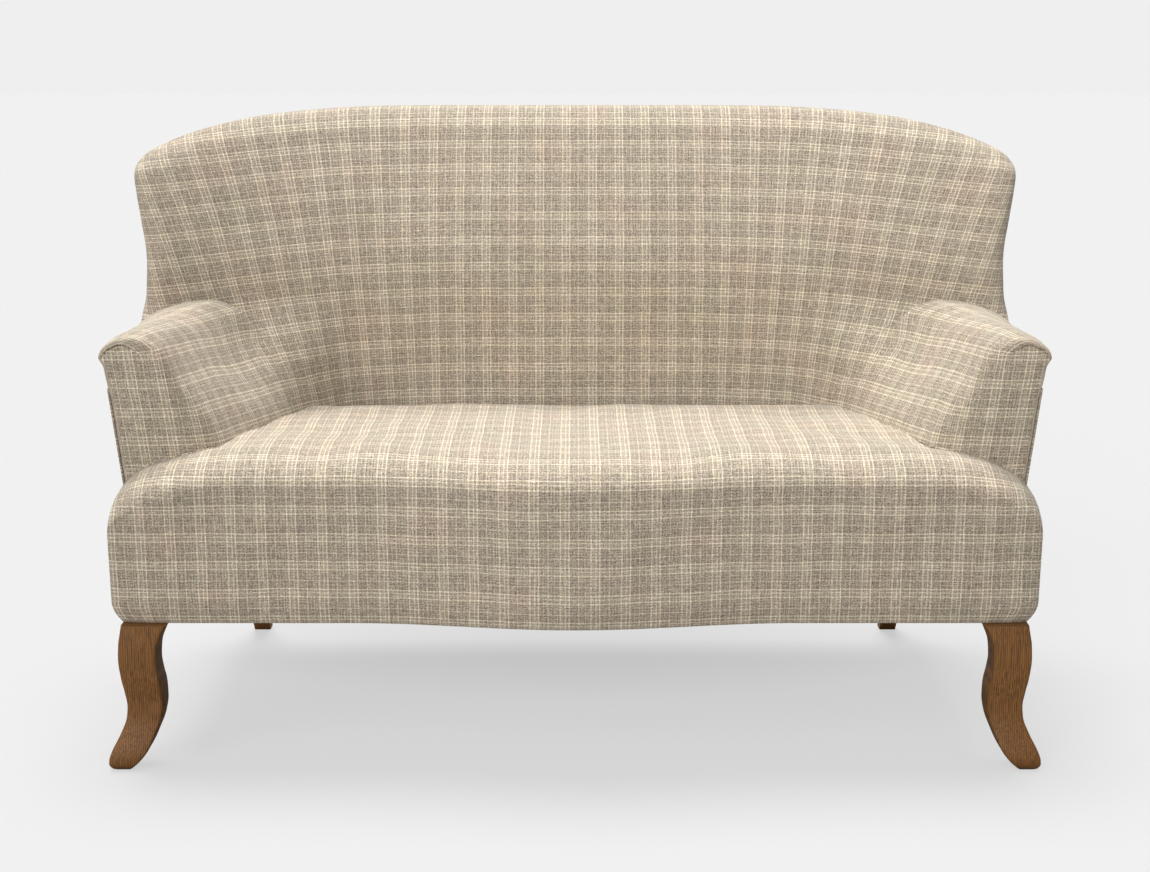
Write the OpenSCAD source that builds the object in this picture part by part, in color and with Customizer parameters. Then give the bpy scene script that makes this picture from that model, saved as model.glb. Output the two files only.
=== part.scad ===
// High back settee: a fixed sprung seat, a raked back that curves forward into wings,
// flared padded arms and four legs, the front pair cabriole.
// X runs across the settee, Y from front to back and Z up from the floor.

/* [Seat] */
// Height of the seat's crown above the floor
seat_h = 500; // [470:1:530]
// Height of the lower edge of the upholstery
body_bottom = 231; // [215:1:255]
// Width of the seat's front across its two ears
seat_w = 1446; // [1400:2:1480]
// Distance from the middle of the floor plan to the crown of the seat's front
front_reach = 430; // [415:1:450]
// How far the middle of the front bows out past its sides
bow = 41; // [20:1:60]
// Half width of the bowed stretch of the front
bow_half_w = 350; // [280:1:420]
// Drop of the seat's crown from its middle to its ears
ear_drop = 42; // [20:1:60]

/* [Back] */
// Height of the back's top edge above the seat's crown
back_rise = 504; // [480:1:560]
// Width across the back's upper corners
back_w = 1514; // [1490:2:1580]
// Rearmost point of the back's top edge
rear_reach = 430; // [415:1:450]
// Face of the back above the rear of the seat
back_face_y = 163; // [150:1:180]
// How far the back's face leans from the seat to its top edge
back_lean = 112; // [90:1:150]
// How far the wings stand forward of the middle of the back
wing_forward = 150; // [100:1:180]
// Radius of the back's padded top and wing edges
edge_r = 44; // [30:1:48]

/* [Arms] */
// Height of the arm's top above the seat's crown, at its front
arm_rise = 170; // [150:1:190]
// Distance from the middle of the settee to the arm's outer face, at its widest
arm_out = 745; // [730:1:755]
// Distance from the middle of the floor plan to the arm's front facing
arm_front_y = 290; // [270:1:300]
// Radius where the arm's inner face turns into its facing
arm_corner_r = 80; // [50:1:90]

/* [Upholstery] */
// Thickness of the covers, fabric and wadding together
cover_t = 3; // [2:0.5:4]
// Clearance between layers of the upholstery
layer_gap = 0.4; // [0.3:0.1:0.6]
// Thickness of the foam on the arms
arm_foam_t = 22; // [15:1:28]
// Thickness of the foam on the back
back_foam_t = 60; // [40:1:70]
// Thickness of the padding on the front of the seat rail
apron_pad_t = 16; // [10:1:20]

/* [Frame] */
// Thickness of the frame's rails and posts
timber_t = 28; // [24:1:32]
// Height of the seat rails
rail_h = 95; // [80:1:110]
// Thickness of the sinuous springs' wire
spring_wire = 3.8; // [3:0.1:4.5]
// Number of sinuous springs under the seat
spring_count = 9; // [7:1:10]

/* [Legs] */
// Width of a front leg at its top
leg_top_w = 69; // [60:1:80]
// Thickness of a rear leg at its top
rear_leg_w = 46; // [38:1:54]
// Distance from the middle of the settee to the middle of a rear leg
rear_leg_x = 603; // [560:1:620]
// Distance from the middle of the floor plan to the middle of a rear foot
rear_foot_y = 414; // [395:1:415]

/* [Hidden] */
// Facets round a bolt and its hole
hole_sides = 32;

// Heights and half widths that several pieces share
overall_h = seat_h + back_rise;
arm_h = seat_h + arm_rise;
back_tall = overall_h - seat_h;
rail_top = body_bottom + rail_h;
seat_half = seat_w / 2;
back_half = back_w / 2;
inner = cover_t + layer_gap;
// The back and the arms tuck in below the seat's crown, at these shares of the height between
// the rails and the crown
tuck_low_share = 0.1;
arm_tuck_share = 0.264;
back_tuck_share = (mix(rail_top, seat_h, tuck_low_share) - seat_h) / back_tall;
arm_tuck_z = mix(rail_top, seat_h, arm_tuck_share);
// Below this height the arm's inner face drops straight down
arm_low_drop = 20;
arm_low_z = seat_h - arm_low_drop;
back_post_drop = 169;
back_post_top = overall_h - back_post_drop;
lower_rail_share = 0.65;
lower_rail_z = mix(rail_top, seat_h, lower_rail_share);

// Seat: end rows, from the middle of an ear's side, as shares of the half width and of the
// full section, then the half widths of the plain rows
seat_end_shares = [[1, 0.81], [0.987, 0.9], [0.958, 0.965], [0.92, 0.99]];
seat_row_shares = [0.88, 0.84, 0.81, 0.785, 0.76, 0.735, 0.705, 0.67, 0.63, 0.56, 0.45, 0.34,
                   0.22, 0.11];
// Front face: share of the height up to the crown, then how far it is drawn in, as a share
// of the bow. Its first points are those of the padding on the rail.
seat_face_shares = [[0, 0.5], [0.12, 0.4], [0.24, 0.34], [0.36, 0.28], [0.6, 0.14], [0.78, 0.08],
                    [0.88, 0.02], [0.94, 0], [0.975, 0.2]];
pad_face_count = 4;
// Top behind the crown: share of the depth, then its drop as a share of the height
seat_top_shares = [[0.06, 0.005], [0.14, 0], [0.3, 0], [0.6, 0], [0.8, 0.01], [0.9, 0.05],
                   [0.97, 0.13]];
// Where the crown starts to drop to the ears, and how deep the rear tucks in
flat_crown_share = 0.72;
tuck_share = 0.38;
// The seat's rear edge stays this far in front of the back and the arms. It is found by
// halving the arm's depth this many times.
seat_gap = 4.5;
search_steps = 16;
// Step across the seat that measures its slant, and the most that a wall is set in for it
slant_step = 4;
slant_most = 3.5;
// The ears: where they round off, the middle of their section, and how the crown's drop at
// the rear fades beside the arms
ear_start_share = 0.88;
ear_depth_share = 0.55;
ear_rear_share = 0.25;
ear_rear_start_share = 0.52;
ear_rear_reach_share = 0.2;

// Back: profile of its face from the seat to the top edge, as shares of the height and lean,
// and how far each turn in it is eased
back_profile_shares = [[-1, 0], [0, 0], [0.2, -0.03], [0.32, -0.08], [0.42, -0.1], [0.5, -0.05],
                       [0.6, 0.1], [0.7, 0.28], [0.8, 0.5], [0.9, 0.75], [1, 1], [1.1, 1.25]];
profile_ease_share = 0.04;
// Half of the back's outline, from the tuck beside the seat round the arm and up to the
// middle of the top edge, as shares of the half width and of the height above the seat
back_tuck_shares = [[0.576, back_tuck_share], [0.576, 0], [0.617, 0.12], [0.678, 0.205],
                    [0.753, 0.272], [0.815, 0.308], [0.87, 0.302], [0.936, 0.292]];
back_edge_shares = [[0.978, 0.32], [0.969, 0.4], [0.968, 0.52], [0.981, 0.631], [0.994, 0.728],
                    [1, 0.786], [0.9935, 0.825], [0.97, 0.862], [0.905, 0.908], [0.81, 0.95],
                    [0.684, 0.979], [0.52, 0.996], [0.344, 1], [0.172, 1], [0, 1]];
back_half_path = [for (p = concat(back_tuck_shares, back_edge_shares)) outline_point(p)];
back_count = 2 * len(back_half_path) - 1;
tuck_count = len(back_tuck_shares);
// Rings of the back's cover: how far each is drawn in and set back, as shares of its edge
// radius, then the inner rings, as shares of the way down to the seat
back_roll_shares = [[0, 1], [0.18, 0.43], [0.58, 0.1], [1, 0]];
back_ring_shares = [0.14, 0.28, 0.42, 0.57, 0.72, 0.87, 1];
back_base_share = 0.45;
// The edge grows from the tuck's radius to its full one over this many points of the outline,
// and starts so many before the tuck's end
tuck_r = 14;
edge_grow_points = 5;
edge_grow_start = 3;
tuck_depth = 30;
// The face curves forward into the wings from this share of the half width
wing_start_share = 0.26;
wing_power = 2.1;
// Low down it also turns forward into the arms, between two shares of the half width
corner_start_share = 0.39;
corner_full_share = 0.65;
corner_power = 3;
corner_forward = 82;
corner_top_share = 0.35;
corner_reach_share = 0.21;
// Rear of the frame: where it starts at the bottom, its curve and the sheet's inset
rear_bottom_y = 362;
rear_curve = 20;
rear_inset = 4;

// Arm: its inner face meets the back at this half width, for each height, both as shares
arm_seam_shares = [[-0.4, 0.576], [0, 0.576], [0.12, 0.617], [0.205, 0.678], [0.272, 0.753],
                   [0.326, 0.815], [0.36, 0.86], [0.4, 0.88]];
seam_ease_share = 0.02;
seam_gap = 18;
// The roll on its top: height, width, how square it is and how round its front edge is
arm_roll_h = 54;
arm_roll_w = 104;
roll_fullness = 0.84;
arm_top_r = 9;
arm_roll_z = arm_h - arm_roll_h;
// The outer face leans in below the roll, which hangs over it
arm_slope_share = 0.125;
arm_overhang = 6;
arm_outer_end = 26;
arm_outer_low = arm_roll_z - arm_outer_end;
// The inner face leans out, and behind the front facing it curves in to the back
arm_inner_slope_share = 0.62;
arm_low_power = 0.82;
arm_high_power = 0.42;
arm_high_corner_share = 0.28;
arm_past_back_share = 0.3;
// Where the arm ends at its rear, on its side and on its top, and how its top rises there
arm_rear_y = 122;
arm_top_rear_y = 46;
arm_rear_rise = 9;
wing_gap = 10;
arm_set_share = 0.7;
// Inner path, as shares of the height from the tuck to the foot of the top roll, then the
// roll's angles
arm_side_shares = [0, 0.2, 0.4, 0.55, 0.7, 0.85];
arm_roll_angles = [180, 158, 136, 114, 90, 66, 42, 20, 0];
// Rows from the rear to the front facing, as shares of the arm's length
arm_row_shares = [0, 0.12, 0.24, 0.36, 0.5, 0.64, 0.76, 0.85, 0.92, 0.965, 0.99, 1];
// Facing: the flat panel on the front of the arm
facing_foot = rail_top + layer_gap;

// Outside back: a thin sheet over the rear of the frame
outside_row_shares = [0, 0.25, 0.5, 0.7, 0.85, 1];
outside_column_shares = [-1, -0.93, -0.8, -0.65, -0.45, -0.22, 0, 0.22, 0.45, 0.65, 0.8, 0.93, 1];
outside_set = 5;
outside_low_share = 0.32;
outside_side_share = 0.786;
// The outline's points up the side and over the top part at this one
side_edge_last = 5;
// Outside arm: a thin sheet from the facing to the rear corner, taller behind the arm
outside_corner_gap = 6;
outside_arm_rear_y = rear_bottom_y - rear_curve - outside_corner_gap;
outside_arm_step_y = 8;
outside_arm_drop = 1;
outside_arm_shares = [0, 0.5, 0.85, 1];

// Seat frame
side_out = arm_outer_x(body_bottom) - inner - layer_gap;
side_in = side_out - timber_t;
pad_clear = 2;
front_set = seat_face_shares[0][1] * bow + inner + apron_pad_t + layer_gap + pad_clear;
rear_face = rear_bottom_y - rear_curve - inner;
rail_front_y = bow - front_reach + front_set + timber_t;
front_rail_steps = 26;
centre_rail_share = 0.6;
block_leg = 92;
block_h = 44;
// Arm frame
foam_back = inner + arm_foam_t + layer_gap;
post_rear_y = timber_t + inner - arm_front_y;
arm_rail_set = 13;
arm_rail_x = arm_out - foam_back - timber_t - arm_rail_set;
arm_rail_h = 40;
arm_rail_z = arm_roll_z - timber_t;
liner_set = 6;
liner_rise = 20;
liner_x = side_in + liner_set;
liner_z = arm_tuck_z + liner_rise;
// Back frame
back_post_d = 60;
back_post_x = side_out - timber_t;
top_rail_h = 62;
top_rail_set = 4;
top_rail_steps = 24;
// The top rail is as low as the post's top over the post, and a little past it
post_lap = 1;
top_rail_rear_y = rear_y(side_out, back_post_top) - layer_gap;
top_rail_front_y = top_rail_rear_y - timber_t;
lower_rail_h = 60;
lower_rail_set = 8;
lower_rail_y = post_front_y(lower_rail_z) + lower_rail_set;
upright_x = 230;
upright_w = 45;
wing_board_t = 18;
wing_foam_clear = 10;
wing_board_set = back_foam_t + inner + wing_foam_clear;
wing_rear_set = 2;
wing_board_shares = [0, 0.25, 0.5, 0.75, 1];

// Springs: each is a flat zigzag wire with round turns, drawn from its two parallel edges
spring_pitch = 30;
spring_bar = 34;
spring_front_y = rail_front_y - timber_t / 2;
spring_rear_y = rear_face - timber_t / 2;
spring_bars = 2 * round((spring_rear_y - spring_front_y) / spring_pitch / 2) + 1;
spring_spread = 1160;
spring_last = spring_count - 1;
spring_xs = [for (k = [0:spring_last]) mix(-spring_spread / 2, spring_spread / 2, k / spring_last)];
spring_pitch_used = (spring_rear_y - spring_front_y) / (spring_bars - 1);
turn_steps = 5;
clip_w = 14;
clip_t = 1.2;
clip_plate = 20;
spring_z = rail_top + spring_wire / 2 + clip_t + layer_gap;
// Hessian over the springs, and the elastic straps up the back
platform_z = spring_z + spring_wire / 2 + clip_t + 2 * layer_gap;
platform_t = 1.4;
platform_w = 1270;
deck_z = platform_z + platform_t + layer_gap;
strap_w = 50;
strap_t = 1.2;
strap_xs = [70, 340, 440, 540];
strap_foot_set = 6;
strap_head_set = 10;
strap_turn_share = 0.7;

// Legs. The front ones are cut to one profile from the front and from the side.
leg_h = body_bottom - layer_gap;
front_leg_in = 90;
front_leg_x = seat_half - front_leg_in;
front_leg_set = 119;
front_leg_y = front_leg_set - front_reach;
front_leg_outer_shares = [[1, 1], [1.1, 0.96], [1.145, 0.872], [1.16, 0.77], [1.12, 0.636],
    [1.055, 0.523], [1.015, 0.431], [1.035, 0.349], [1.165, 0.241], [1.345, 0.133], [1.405, 0.077],
    [1.41, 0.046], [1.34, 0.012], [1.26, 0.0]];
front_leg_inner_shares = [[0.95, 0.0], [0.84, 0.029], [0.72, 0.062], [0.54, 0.128], [0.38, 0.231],
    [0.25, 0.339], [0.2, 0.441], [0.21, 0.544], [0.27, 0.657], [0.3, 0.739], [0.28, 0.841],
    [0.18, 0.934], [0, 1]];
rear_leg_front_shares = [[0, 1], [0.08, 0.8], [0.24, 0.55], [0.55, 0.25], [1, 0]];
rear_leg_foot_w = 30;
bend_steps = 3;
// Leg bolts, their holes and how far they reach into the rail and the leg
bolt_d = 8;
bolt_clear = 0.3;
bolt_in = 60;
bolt_out = 40;
bolt_x = front_leg_x + leg_top_w / 2;
bolt_hole = bolt_d + 2 * bolt_clear;
rail_hole_h = leg_h + bolt_in + bolt_clear;
// Bottoming cloth
dust_t = 0.8;
dust_set = 5;
dust_leg_gap = 1;

function smooth(t) = t <= 0 ? 0 : t >= 1 ? 1 : t * t * (3 - 2 * t);
function mix(a, b, t) = a + (b - a) * t;
function soft(t, table, reach) =
    (lookup(t - reach, table) + 2 * lookup(t, table) + lookup(t + reach, table)) / 4;
function flat(rows) = [for (row = rows) for (p = row) p];
function reverse(list) = [for (i = [len(list) - 1:-1:0]) list[i]];
function part_of(list, first, last) = [for (i = [first:last]) list[i]];
function quad(a, b, c, d) = [[a, b, c], [a, c, d]];
function whole(f) = f[0] != f[1] && f[1] != f[2] && f[2] != f[0];

// Faces of a closed wall between an outer grid of points and an inner one. With poles, the
// first and last rows are single points.
function wall_faces(n, m, poles) =
    let (at = function (layer, i, j) layer * n * m + i * m + (poles && (i == 0 || i == n - 1) ? 0 : j))
    [for (f = concat(
        [for (i = [0:n - 2]) for (j = [0:m - 2])
            for (q = quad(at(0, i, j), at(0, i, j + 1), at(0, i + 1, j + 1), at(0, i + 1, j))) q],
        [for (i = [0:n - 2]) for (j = [0:m - 2])
            for (q = quad(at(1, i, j), at(1, i + 1, j), at(1, i + 1, j + 1), at(1, i, j + 1))) q],
        [for (j = [0:m - 2])
            for (q = quad(at(0, 0, j + 1), at(0, 0, j), at(1, 0, j), at(1, 0, j + 1))) q],
        [for (j = [0:m - 2]) for (q = quad(
            at(0, n - 1, j), at(0, n - 1, j + 1), at(1, n - 1, j + 1), at(1, n - 1, j))) q],
        [for (i = [0:n - 2])
            for (q = quad(at(0, i, 0), at(0, i + 1, 0), at(1, i + 1, 0), at(1, i, 0))) q],
        [for (i = [0:n - 2]) for (q = quad(
            at(0, i + 1, m - 1), at(0, i, m - 1), at(1, i, m - 1), at(1, i + 1, m - 1))) q]
    )) if (whole(f)) f];

module wall(outer, inner, poles = false) {
    polyhedron(
        points = concat(flat(outer), flat(inner)),
        faces = wall_faces(len(outer), len(outer[0]), poles),
        convexity = 8
    );
}
// What is drawn on the right side, mirrored where the left one is wanted
module on_side(left) {
    mirror([left ? 1 : 0, 0, 0]) children();
}

// The direction out of an open path, to its left, at one of its points
function path_normal(path, j) =
    let (a = path[max(0, j - 1)], b = path[min(len(path) - 1, j + 1)], d = b - a)
    [-d[1], d[0]] / norm(d);
// The path moved in from its left side
function inset_path(path, depth) =
    [for (j = [0:len(path) - 1]) path[j] - depth * path_normal(path, j)];

// Seat
function seat_front_y(x) =
    bow - front_reach - bow * (abs(x) < bow_half_w ? (1 + cos(180 * x / bow_half_w)) / 2 : 0);
// The seat's rear edge follows the arms' inner faces and the back's face, just in front
function face_at(x, near, far, steps) =
    let (mid = (near + far) / 2)
    steps == 0 ? mid :
    arm_inner_x(mid, arm_low_z) > x
        ? face_at(x, mid, far, steps - 1)
        : face_at(x, near, mid, steps - 1);
function seat_rear_y(x) =
    let (ax = abs(x), seam = arm_seam_x(arm_low_z))
    (ax <= seam
        ? back_y(ax, arm_low_z)
        : face_at(ax, -arm_front_y, back_y(seam, arm_low_z), search_steps))
    - seat_gap;
function seat_crown(x) =
    seat_h - ear_drop * smooth((abs(x) / seat_half - flat_crown_share) / (1 - flat_crown_share));
// How much longer a step across the settee is along an edge that runs at a slant
function front_slant(x) = norm([1, seat_front_y(x + 1) - seat_front_y(x)]);
function rear_slant(x) =
    let (run = seat_rear_y(x + slant_step) - seat_rear_y(x - slant_step))
    min(slant_most, norm([1, run / (2 * slant_step)]));
// The crown drops less at its rear where it meets the arms
function rear_drop(x) =
    let (far = abs(x) / seat_half)
    mix(1, ear_rear_share, smooth((far - ear_rear_start_share) / ear_rear_reach_share));
// Section from the foot of the front over the crown to the tuck at the rear
function seat_path(x, depth) =
    let (
        front = seat_front_y(x) + depth * front_slant(x),
        rear = seat_rear_y(x) - depth * rear_slant(x),
        top = seat_crown(x) - depth,
        tall = top - body_bottom
    )
    concat(
        [for (p = seat_face_shares) [front + p[1] * bow, body_bottom + p[0] * tall]],
        [for (p = seat_top_shares) [mix(front, rear, p[0]), top - p[1] * tall * rear_drop(x)]],
        [[rear, mix(top, body_bottom, tuck_share)]]
    );
function seat_row(share, keep, depth) =
    let (
        x = share * seat_half - depth * smooth((share - ear_start_share) / (1 - ear_start_share)),
        path = seat_path(x, depth),
        middle = [mix(seat_front_y(x), seat_rear_y(x), ear_depth_share), body_bottom]
    )
    [for (p = path) let (q = middle + (p - middle) * keep) [x, q[0], q[1]]];
function seat_half_rows(depth) = concat(
    [for (e = seat_end_shares) seat_row(e[0], e[1], depth)],
    [for (s = seat_row_shares) seat_row(s, 1, depth)]
);
function mirror_rows(rows) = [for (row = rows) [for (p = row) [-p[0], p[1], p[2]]]];
function seat_rows(depth) =
    let (half = seat_half_rows(depth))
    concat(mirror_rows(half), [seat_row(0, 1, depth)], reverse(half));
// The hub that closes an ear's side at the foot of its first row
function seat_hub(row, m) =
    [for (j = [0:m - 1]) [row[0][0], mix(row[0][1], row[m - 1][1], 0.5), row[0][2]]];
function with_hubs(rows) =
    let (m = len(rows[0]), n = len(rows))
    concat([seat_hub(rows[0], m)], rows, [seat_hub(rows[n - 1], m)]);

module seat_cover() {
    color("#b3a794") wall(with_hubs(seat_rows(0)), with_hubs(seat_rows(cover_t)), true);
}
module seat_foam() {
    rows = seat_rows(cover_t);
    last = len(rows[0]) - 1;
    top = [for (row = rows) part_of(row, pad_face_count, last)];
    count = len(top[0]) - 1;
    foot_in = (seat_face_shares[pad_face_count - 1][1] - seat_face_shares[pad_face_count][1]) * bow;
    base = [for (row = top) [for (j = [0:count])
        [row[0][0], mix(row[0][1] + foot_in, row[count][1], j / count), deck_z]]];
    color("#e8dcb0") wall(top, base);
}
module apron_pad() {
    skip = len(seat_end_shares) - 1;
    outer = seat_rows(cover_t);
    back = seat_rows(cover_t + apron_pad_t);
    n = len(outer) - 1;
    color("#efe9dc") wall(
        [for (i = [skip:n - skip]) part_of(outer[i], 0, pad_face_count - 1)],
        [for (i = [skip:n - skip]) part_of(back[i], 0, pad_face_count - 1)]
    );
}

// Back
function back_y(x, z) =
    let (
        t = (z - seat_h) / back_tall,
        w = abs(x) / back_half,
        lean = back_lean * soft(t, back_profile_shares, profile_ease_share),
        wing = wing_forward * pow(max(0, w - wing_start_share) / (1 - wing_start_share), wing_power),
        low = smooth((corner_top_share - t) / corner_reach_share),
        turn = min(1, max(0, w - corner_start_share) / (corner_full_share - corner_start_share)),
        corner = corner_forward * pow(turn, corner_power) * low
    )
    back_face_y + lean - wing - corner;
function rear_y(x, z) =
    mix(rear_bottom_y, rear_reach, (z - body_bottom) / (overall_h - body_bottom))
    - cover_t - layer_gap - rear_curve * pow(abs(x) / back_half, 2);
function outline_point(p) = [p[0] * back_half, seat_h + p[1] * back_tall];
function back_path() =
    let (n = len(back_half_path))
    concat(
        [for (p = back_half_path) [-p[0], p[1]]],
        [for (i = [n - 2:-1:0]) back_half_path[i]]
    );
function is_tuck(j) = j < tuck_count || j >= back_count - tuck_count;
function edge_radius(j) =
    let (from_end = min(j, back_count - 1 - j))
    mix(tuck_r, edge_r, smooth((from_end - tuck_count + edge_grow_start) / edge_grow_points));
function back_base(j) =
    let (half = back_base_share * back_half)
    [mix(-half, half, j / (back_count - 1)), outline_point(back_tuck_shares[0])[1]];
function back_ring(inset_share, set_share, depth) =
    let (path = back_path())
    [for (j = [0:back_count - 1])
        let (
            r = edge_radius(j),
            p = path[j] - (depth * (1 - inset_share) + inset_share * r) * path_normal(path, j)
        )
        [p[0], back_y(p[0], p[1]) + depth * (1 - set_share) + set_share * r, p[1]]];
function back_rear_ring(depth) =
    [for (j = [0:back_count - 1])
        let (path = back_path(), p = path[j] - (depth + rear_inset) * path_normal(path, j))
        [p[0], is_tuck(j) ? back_y(p[0], p[1]) + tuck_depth : rear_y(p[0], p[1]), p[1]]];
function back_inner_rings(depth) =
    let (path = back_path())
    [for (s = back_ring_shares) [for (j = [0:back_count - 1])
        let (
            r = edge_radius(j),
            edge = path[j] - r * path_normal(path, j),
            p = mix(edge, back_base(j), s)
        )
        [p[0], back_y(p[0], p[1]) + depth, p[1]]]];
function back_rings(depth) = concat(
    [back_rear_ring(depth)],
    [for (k = back_roll_shares) back_ring(k[0], k[1], depth)],
    back_inner_rings(depth)
);
module inside_back_cover() {
    color("#b3a794") wall(back_rings(0), back_rings(cover_t));
}
module back_foam() {
    rings = back_rings(cover_t);
    face = part_of(rings, len(back_roll_shares), len(rings) - 1);
    rear = [for (ring = face) [for (p = ring) [p[0], back_y(p[0], p[2]) + cover_t + back_foam_t, p[2]]]];
    color("#e8dcb0") wall(face, rear);
}

// The back's outline up its side, and over its top
function edge_x(z) =
    let (side = part_of(back_edge_shares, 0, side_edge_last))
    lookup((z - seat_h) / back_tall, [for (p = side) [p[1], p[0]]]) * back_half;
function edge_z(x) =
    let (over = part_of(back_edge_shares, side_edge_last + 1, len(back_edge_shares) - 1))
    seat_h + back_tall * lookup(abs(x) / back_half, [for (p = reverse(over)) [p[0], p[1]]]);
function outside_half_w(z) =
    let (low = seat_h + outside_low_share * back_tall)
    z > low
        ? edge_x(z) - outside_set
        : mix(arm_outer_x(body_bottom), edge_x(low) - outside_set,
              (z - body_bottom) / (low - body_bottom));
function outside_point(u, v, depth) =
    let (
        wide = outside_half_w(mix(body_bottom, seat_h + outside_side_share * back_tall, v)),
        x = u * wide,
        z = mix(body_bottom, edge_z(x) - rear_inset, v)
    )
    [x, rear_y(x, z) + layer_gap + depth, z];
function outside_rows(depth) =
    [for (v = outside_row_shares) [for (u = outside_column_shares) outside_point(u, v, depth)]];
module outside_back_cover() {
    color("#a99d8a") wall(outside_rows(cover_t), outside_rows(0));
}

// Arms, drawn on the right
function arm_outer_x(z) =
    arm_out - arm_overhang * smooth((arm_roll_z - z) / arm_roll_h)
    - arm_slope_share * max(0, arm_roll_z - z);
function arm_front_x(z) =
    arm_out - arm_roll_w - arm_inner_slope_share * max(0, arm_roll_z - max(z, arm_low_z));
function arm_seam_x(z) =
    back_half * soft((z - seat_h) / back_tall, arm_seam_shares, seam_ease_share) + seam_gap;
function arm_inner_x(y, z, depth = 0) =
    let (
        sx = arm_seam_x(z),
        sy = back_y(sx, z),
        high = min(1, max(0, (z - seat_h) / (arm_roll_z - seat_h))),
        p = mix(arm_low_power, arm_high_power, high),
        t = (sy - y) / (sy + arm_front_y),
        full = arm_corner_r * mix(1, arm_high_corner_share, high),
        r = max(1, full - depth),
        near = max(0, min(1, (full - arm_front_y - y) / r)),
        turn = r * (1 - sqrt(1 - near * near))
    )
    (t <= 0 ? sx + (y - sy) * arm_past_back_share : mix(sx, arm_front_x(z), pow(t, p))) + turn;
// Section across the arm, from the tuck up its inner face and over the roll to its outside
function arm_path(share, depth = 0) =
    let (
        back_set = depth * smooth((share - arm_set_share) / (1 - arm_set_share)),
        y_of = function (z)
            mix(z > arm_roll_z ? arm_top_rear_y : arm_rear_y, -arm_front_y, share) + back_set,
        y = y_of(arm_roll_z),
        top_y = y_of(arm_h),
        foot = arm_roll_z + arm_rear_rise * (1 - share),
        a = arm_inner_x(top_y, arm_roll_z, depth),
        b = arm_out,
        wing_end = function (x, z, own)
            min(own, mix(back_y(x, z) - wing_gap, -arm_front_y, share) + back_set),
        r = max(1, arm_top_r - depth),
        near = max(0, min(1, (arm_top_r - arm_front_y - top_y) / r)),
        turn = r * (1 - sqrt(1 - near * near))
    )
    concat(
        [for (s = arm_side_shares)
            let (z = mix(arm_tuck_z, foot, s), yy = mix(y, top_y, s * s))
            [arm_inner_x(yy, z, depth), z, yy]],
        [for (angle = arm_roll_angles)
            let (
                side = sign(cos(angle)) * pow(abs(cos(angle)), roll_fullness),
                x = (a + b) / 2 + (b - a) / 2 * side * (1 - turn / arm_roll_w),
                z = foot + (arm_roll_h - turn) * pow(abs(sin(angle)), roll_fullness)
            )
            [x, z, wing_end(x, z, top_y)]],
        [[arm_outer_x(arm_outer_low), arm_outer_low, wing_end(b, arm_roll_z, top_y)]]
    );
function arm_rows(depth) =
    [for (share = arm_row_shares)
        let (
            path = arm_path(share, depth),
            flat_path = [for (p = path) [p[0], p[1]]],
            in = inset_path(flat_path, depth)
        )
        [for (j = [0:len(path) - 1]) [in[j][0], path[j][2], in[j][1]]]];
module arm_cover(left) {
    color("#b3a794") on_side(left) wall(arm_rows(0), arm_rows(cover_t));
}
module arm_foam(left) {
    last = len(arm_row_shares) - 2;
    rows = part_of(arm_rows(cover_t), 1, last);
    back = part_of(arm_rows(cover_t + arm_foam_t), 1, last);
    color("#e8dcb0") on_side(left) wall(rows, back);
}

module arm_facing(left) {
    path = [for (p = arm_path(1)) [p[0], p[1]]];
    edge = inset_path(path, cover_t + layer_gap);
    outer_foot = arm_outer_x(facing_foot) - layer_gap;
    inner_foot = edge[0][0];
    color("#b3a794") on_side(left) translate([0, cover_t - arm_front_y, 0]) rotate([90, 0, 0])
        linear_extrude(cover_t) polygon(concat([[inner_foot, facing_foot]], edge,
            [[arm_outer_x(arm_outer_low) - layer_gap, arm_outer_low - layer_gap],
             [outer_foot, facing_foot]]));
}

module outside_arm_cover(left) {
    low = arm_outer_low - outside_arm_drop;
    high = outline_point(back_edge_shares[0])[1] - cover_t;
    ys = [outside_arm_rear_y, outside_arm_step_y + wing_gap, outside_arm_step_y, inner - arm_front_y];
    tops = [high, high, low, low];
    grid = function (depth) [for (v = outside_arm_shares) [for (k = [0:len(ys) - 1])
        let (z = mix(body_bottom, tops[k], v))
        [arm_outer_x(min(z, low)) - depth, ys[k], z]]];
    color("#a99d8a") on_side(left) wall(grid(0), grid(cover_t));
}

// Frame
module front_rail() {
    line = [for (k = [0:front_rail_steps]) mix(-side_out, side_out, k / front_rail_steps)];
    color("#d8b98a") difference() {
        translate([0, 0, body_bottom]) linear_extrude(rail_h) polygon(concat(
            [for (x = line) [x, seat_front_y(x) + front_set]],
            [for (x = reverse(line)) [x, rail_front_y]]
        ));
        for (side = [-1, 1]) translate([side * bolt_x, spring_front_y, 0])
            cylinder(d = bolt_hole, h = rail_hole_h, $fn = hole_sides);
    }
}
module rear_rail() {
    color("#d8b98a") difference() {
        translate([-side_out, rear_face - timber_t, body_bottom]) cube([2 * side_out, timber_t, rail_h]);
        for (side = [-1, 1]) translate([side * rear_leg_x, spring_rear_y, 0])
            cylinder(d = bolt_hole, h = rail_hole_h, $fn = hole_sides);
    }
}
module side_rail(left) {
    color("#d8b98a") on_side(left) translate([side_in, rail_front_y, body_bottom])
        cube([timber_t, rear_face - timber_t - rail_front_y, rail_h]);
}
module centre_rail() {
    color("#d8b98a") translate([-timber_t / 2, rail_front_y, body_bottom])
        cube([timber_t, rear_face - timber_t - rail_front_y, rail_h * centre_rail_share]);
}
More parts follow.
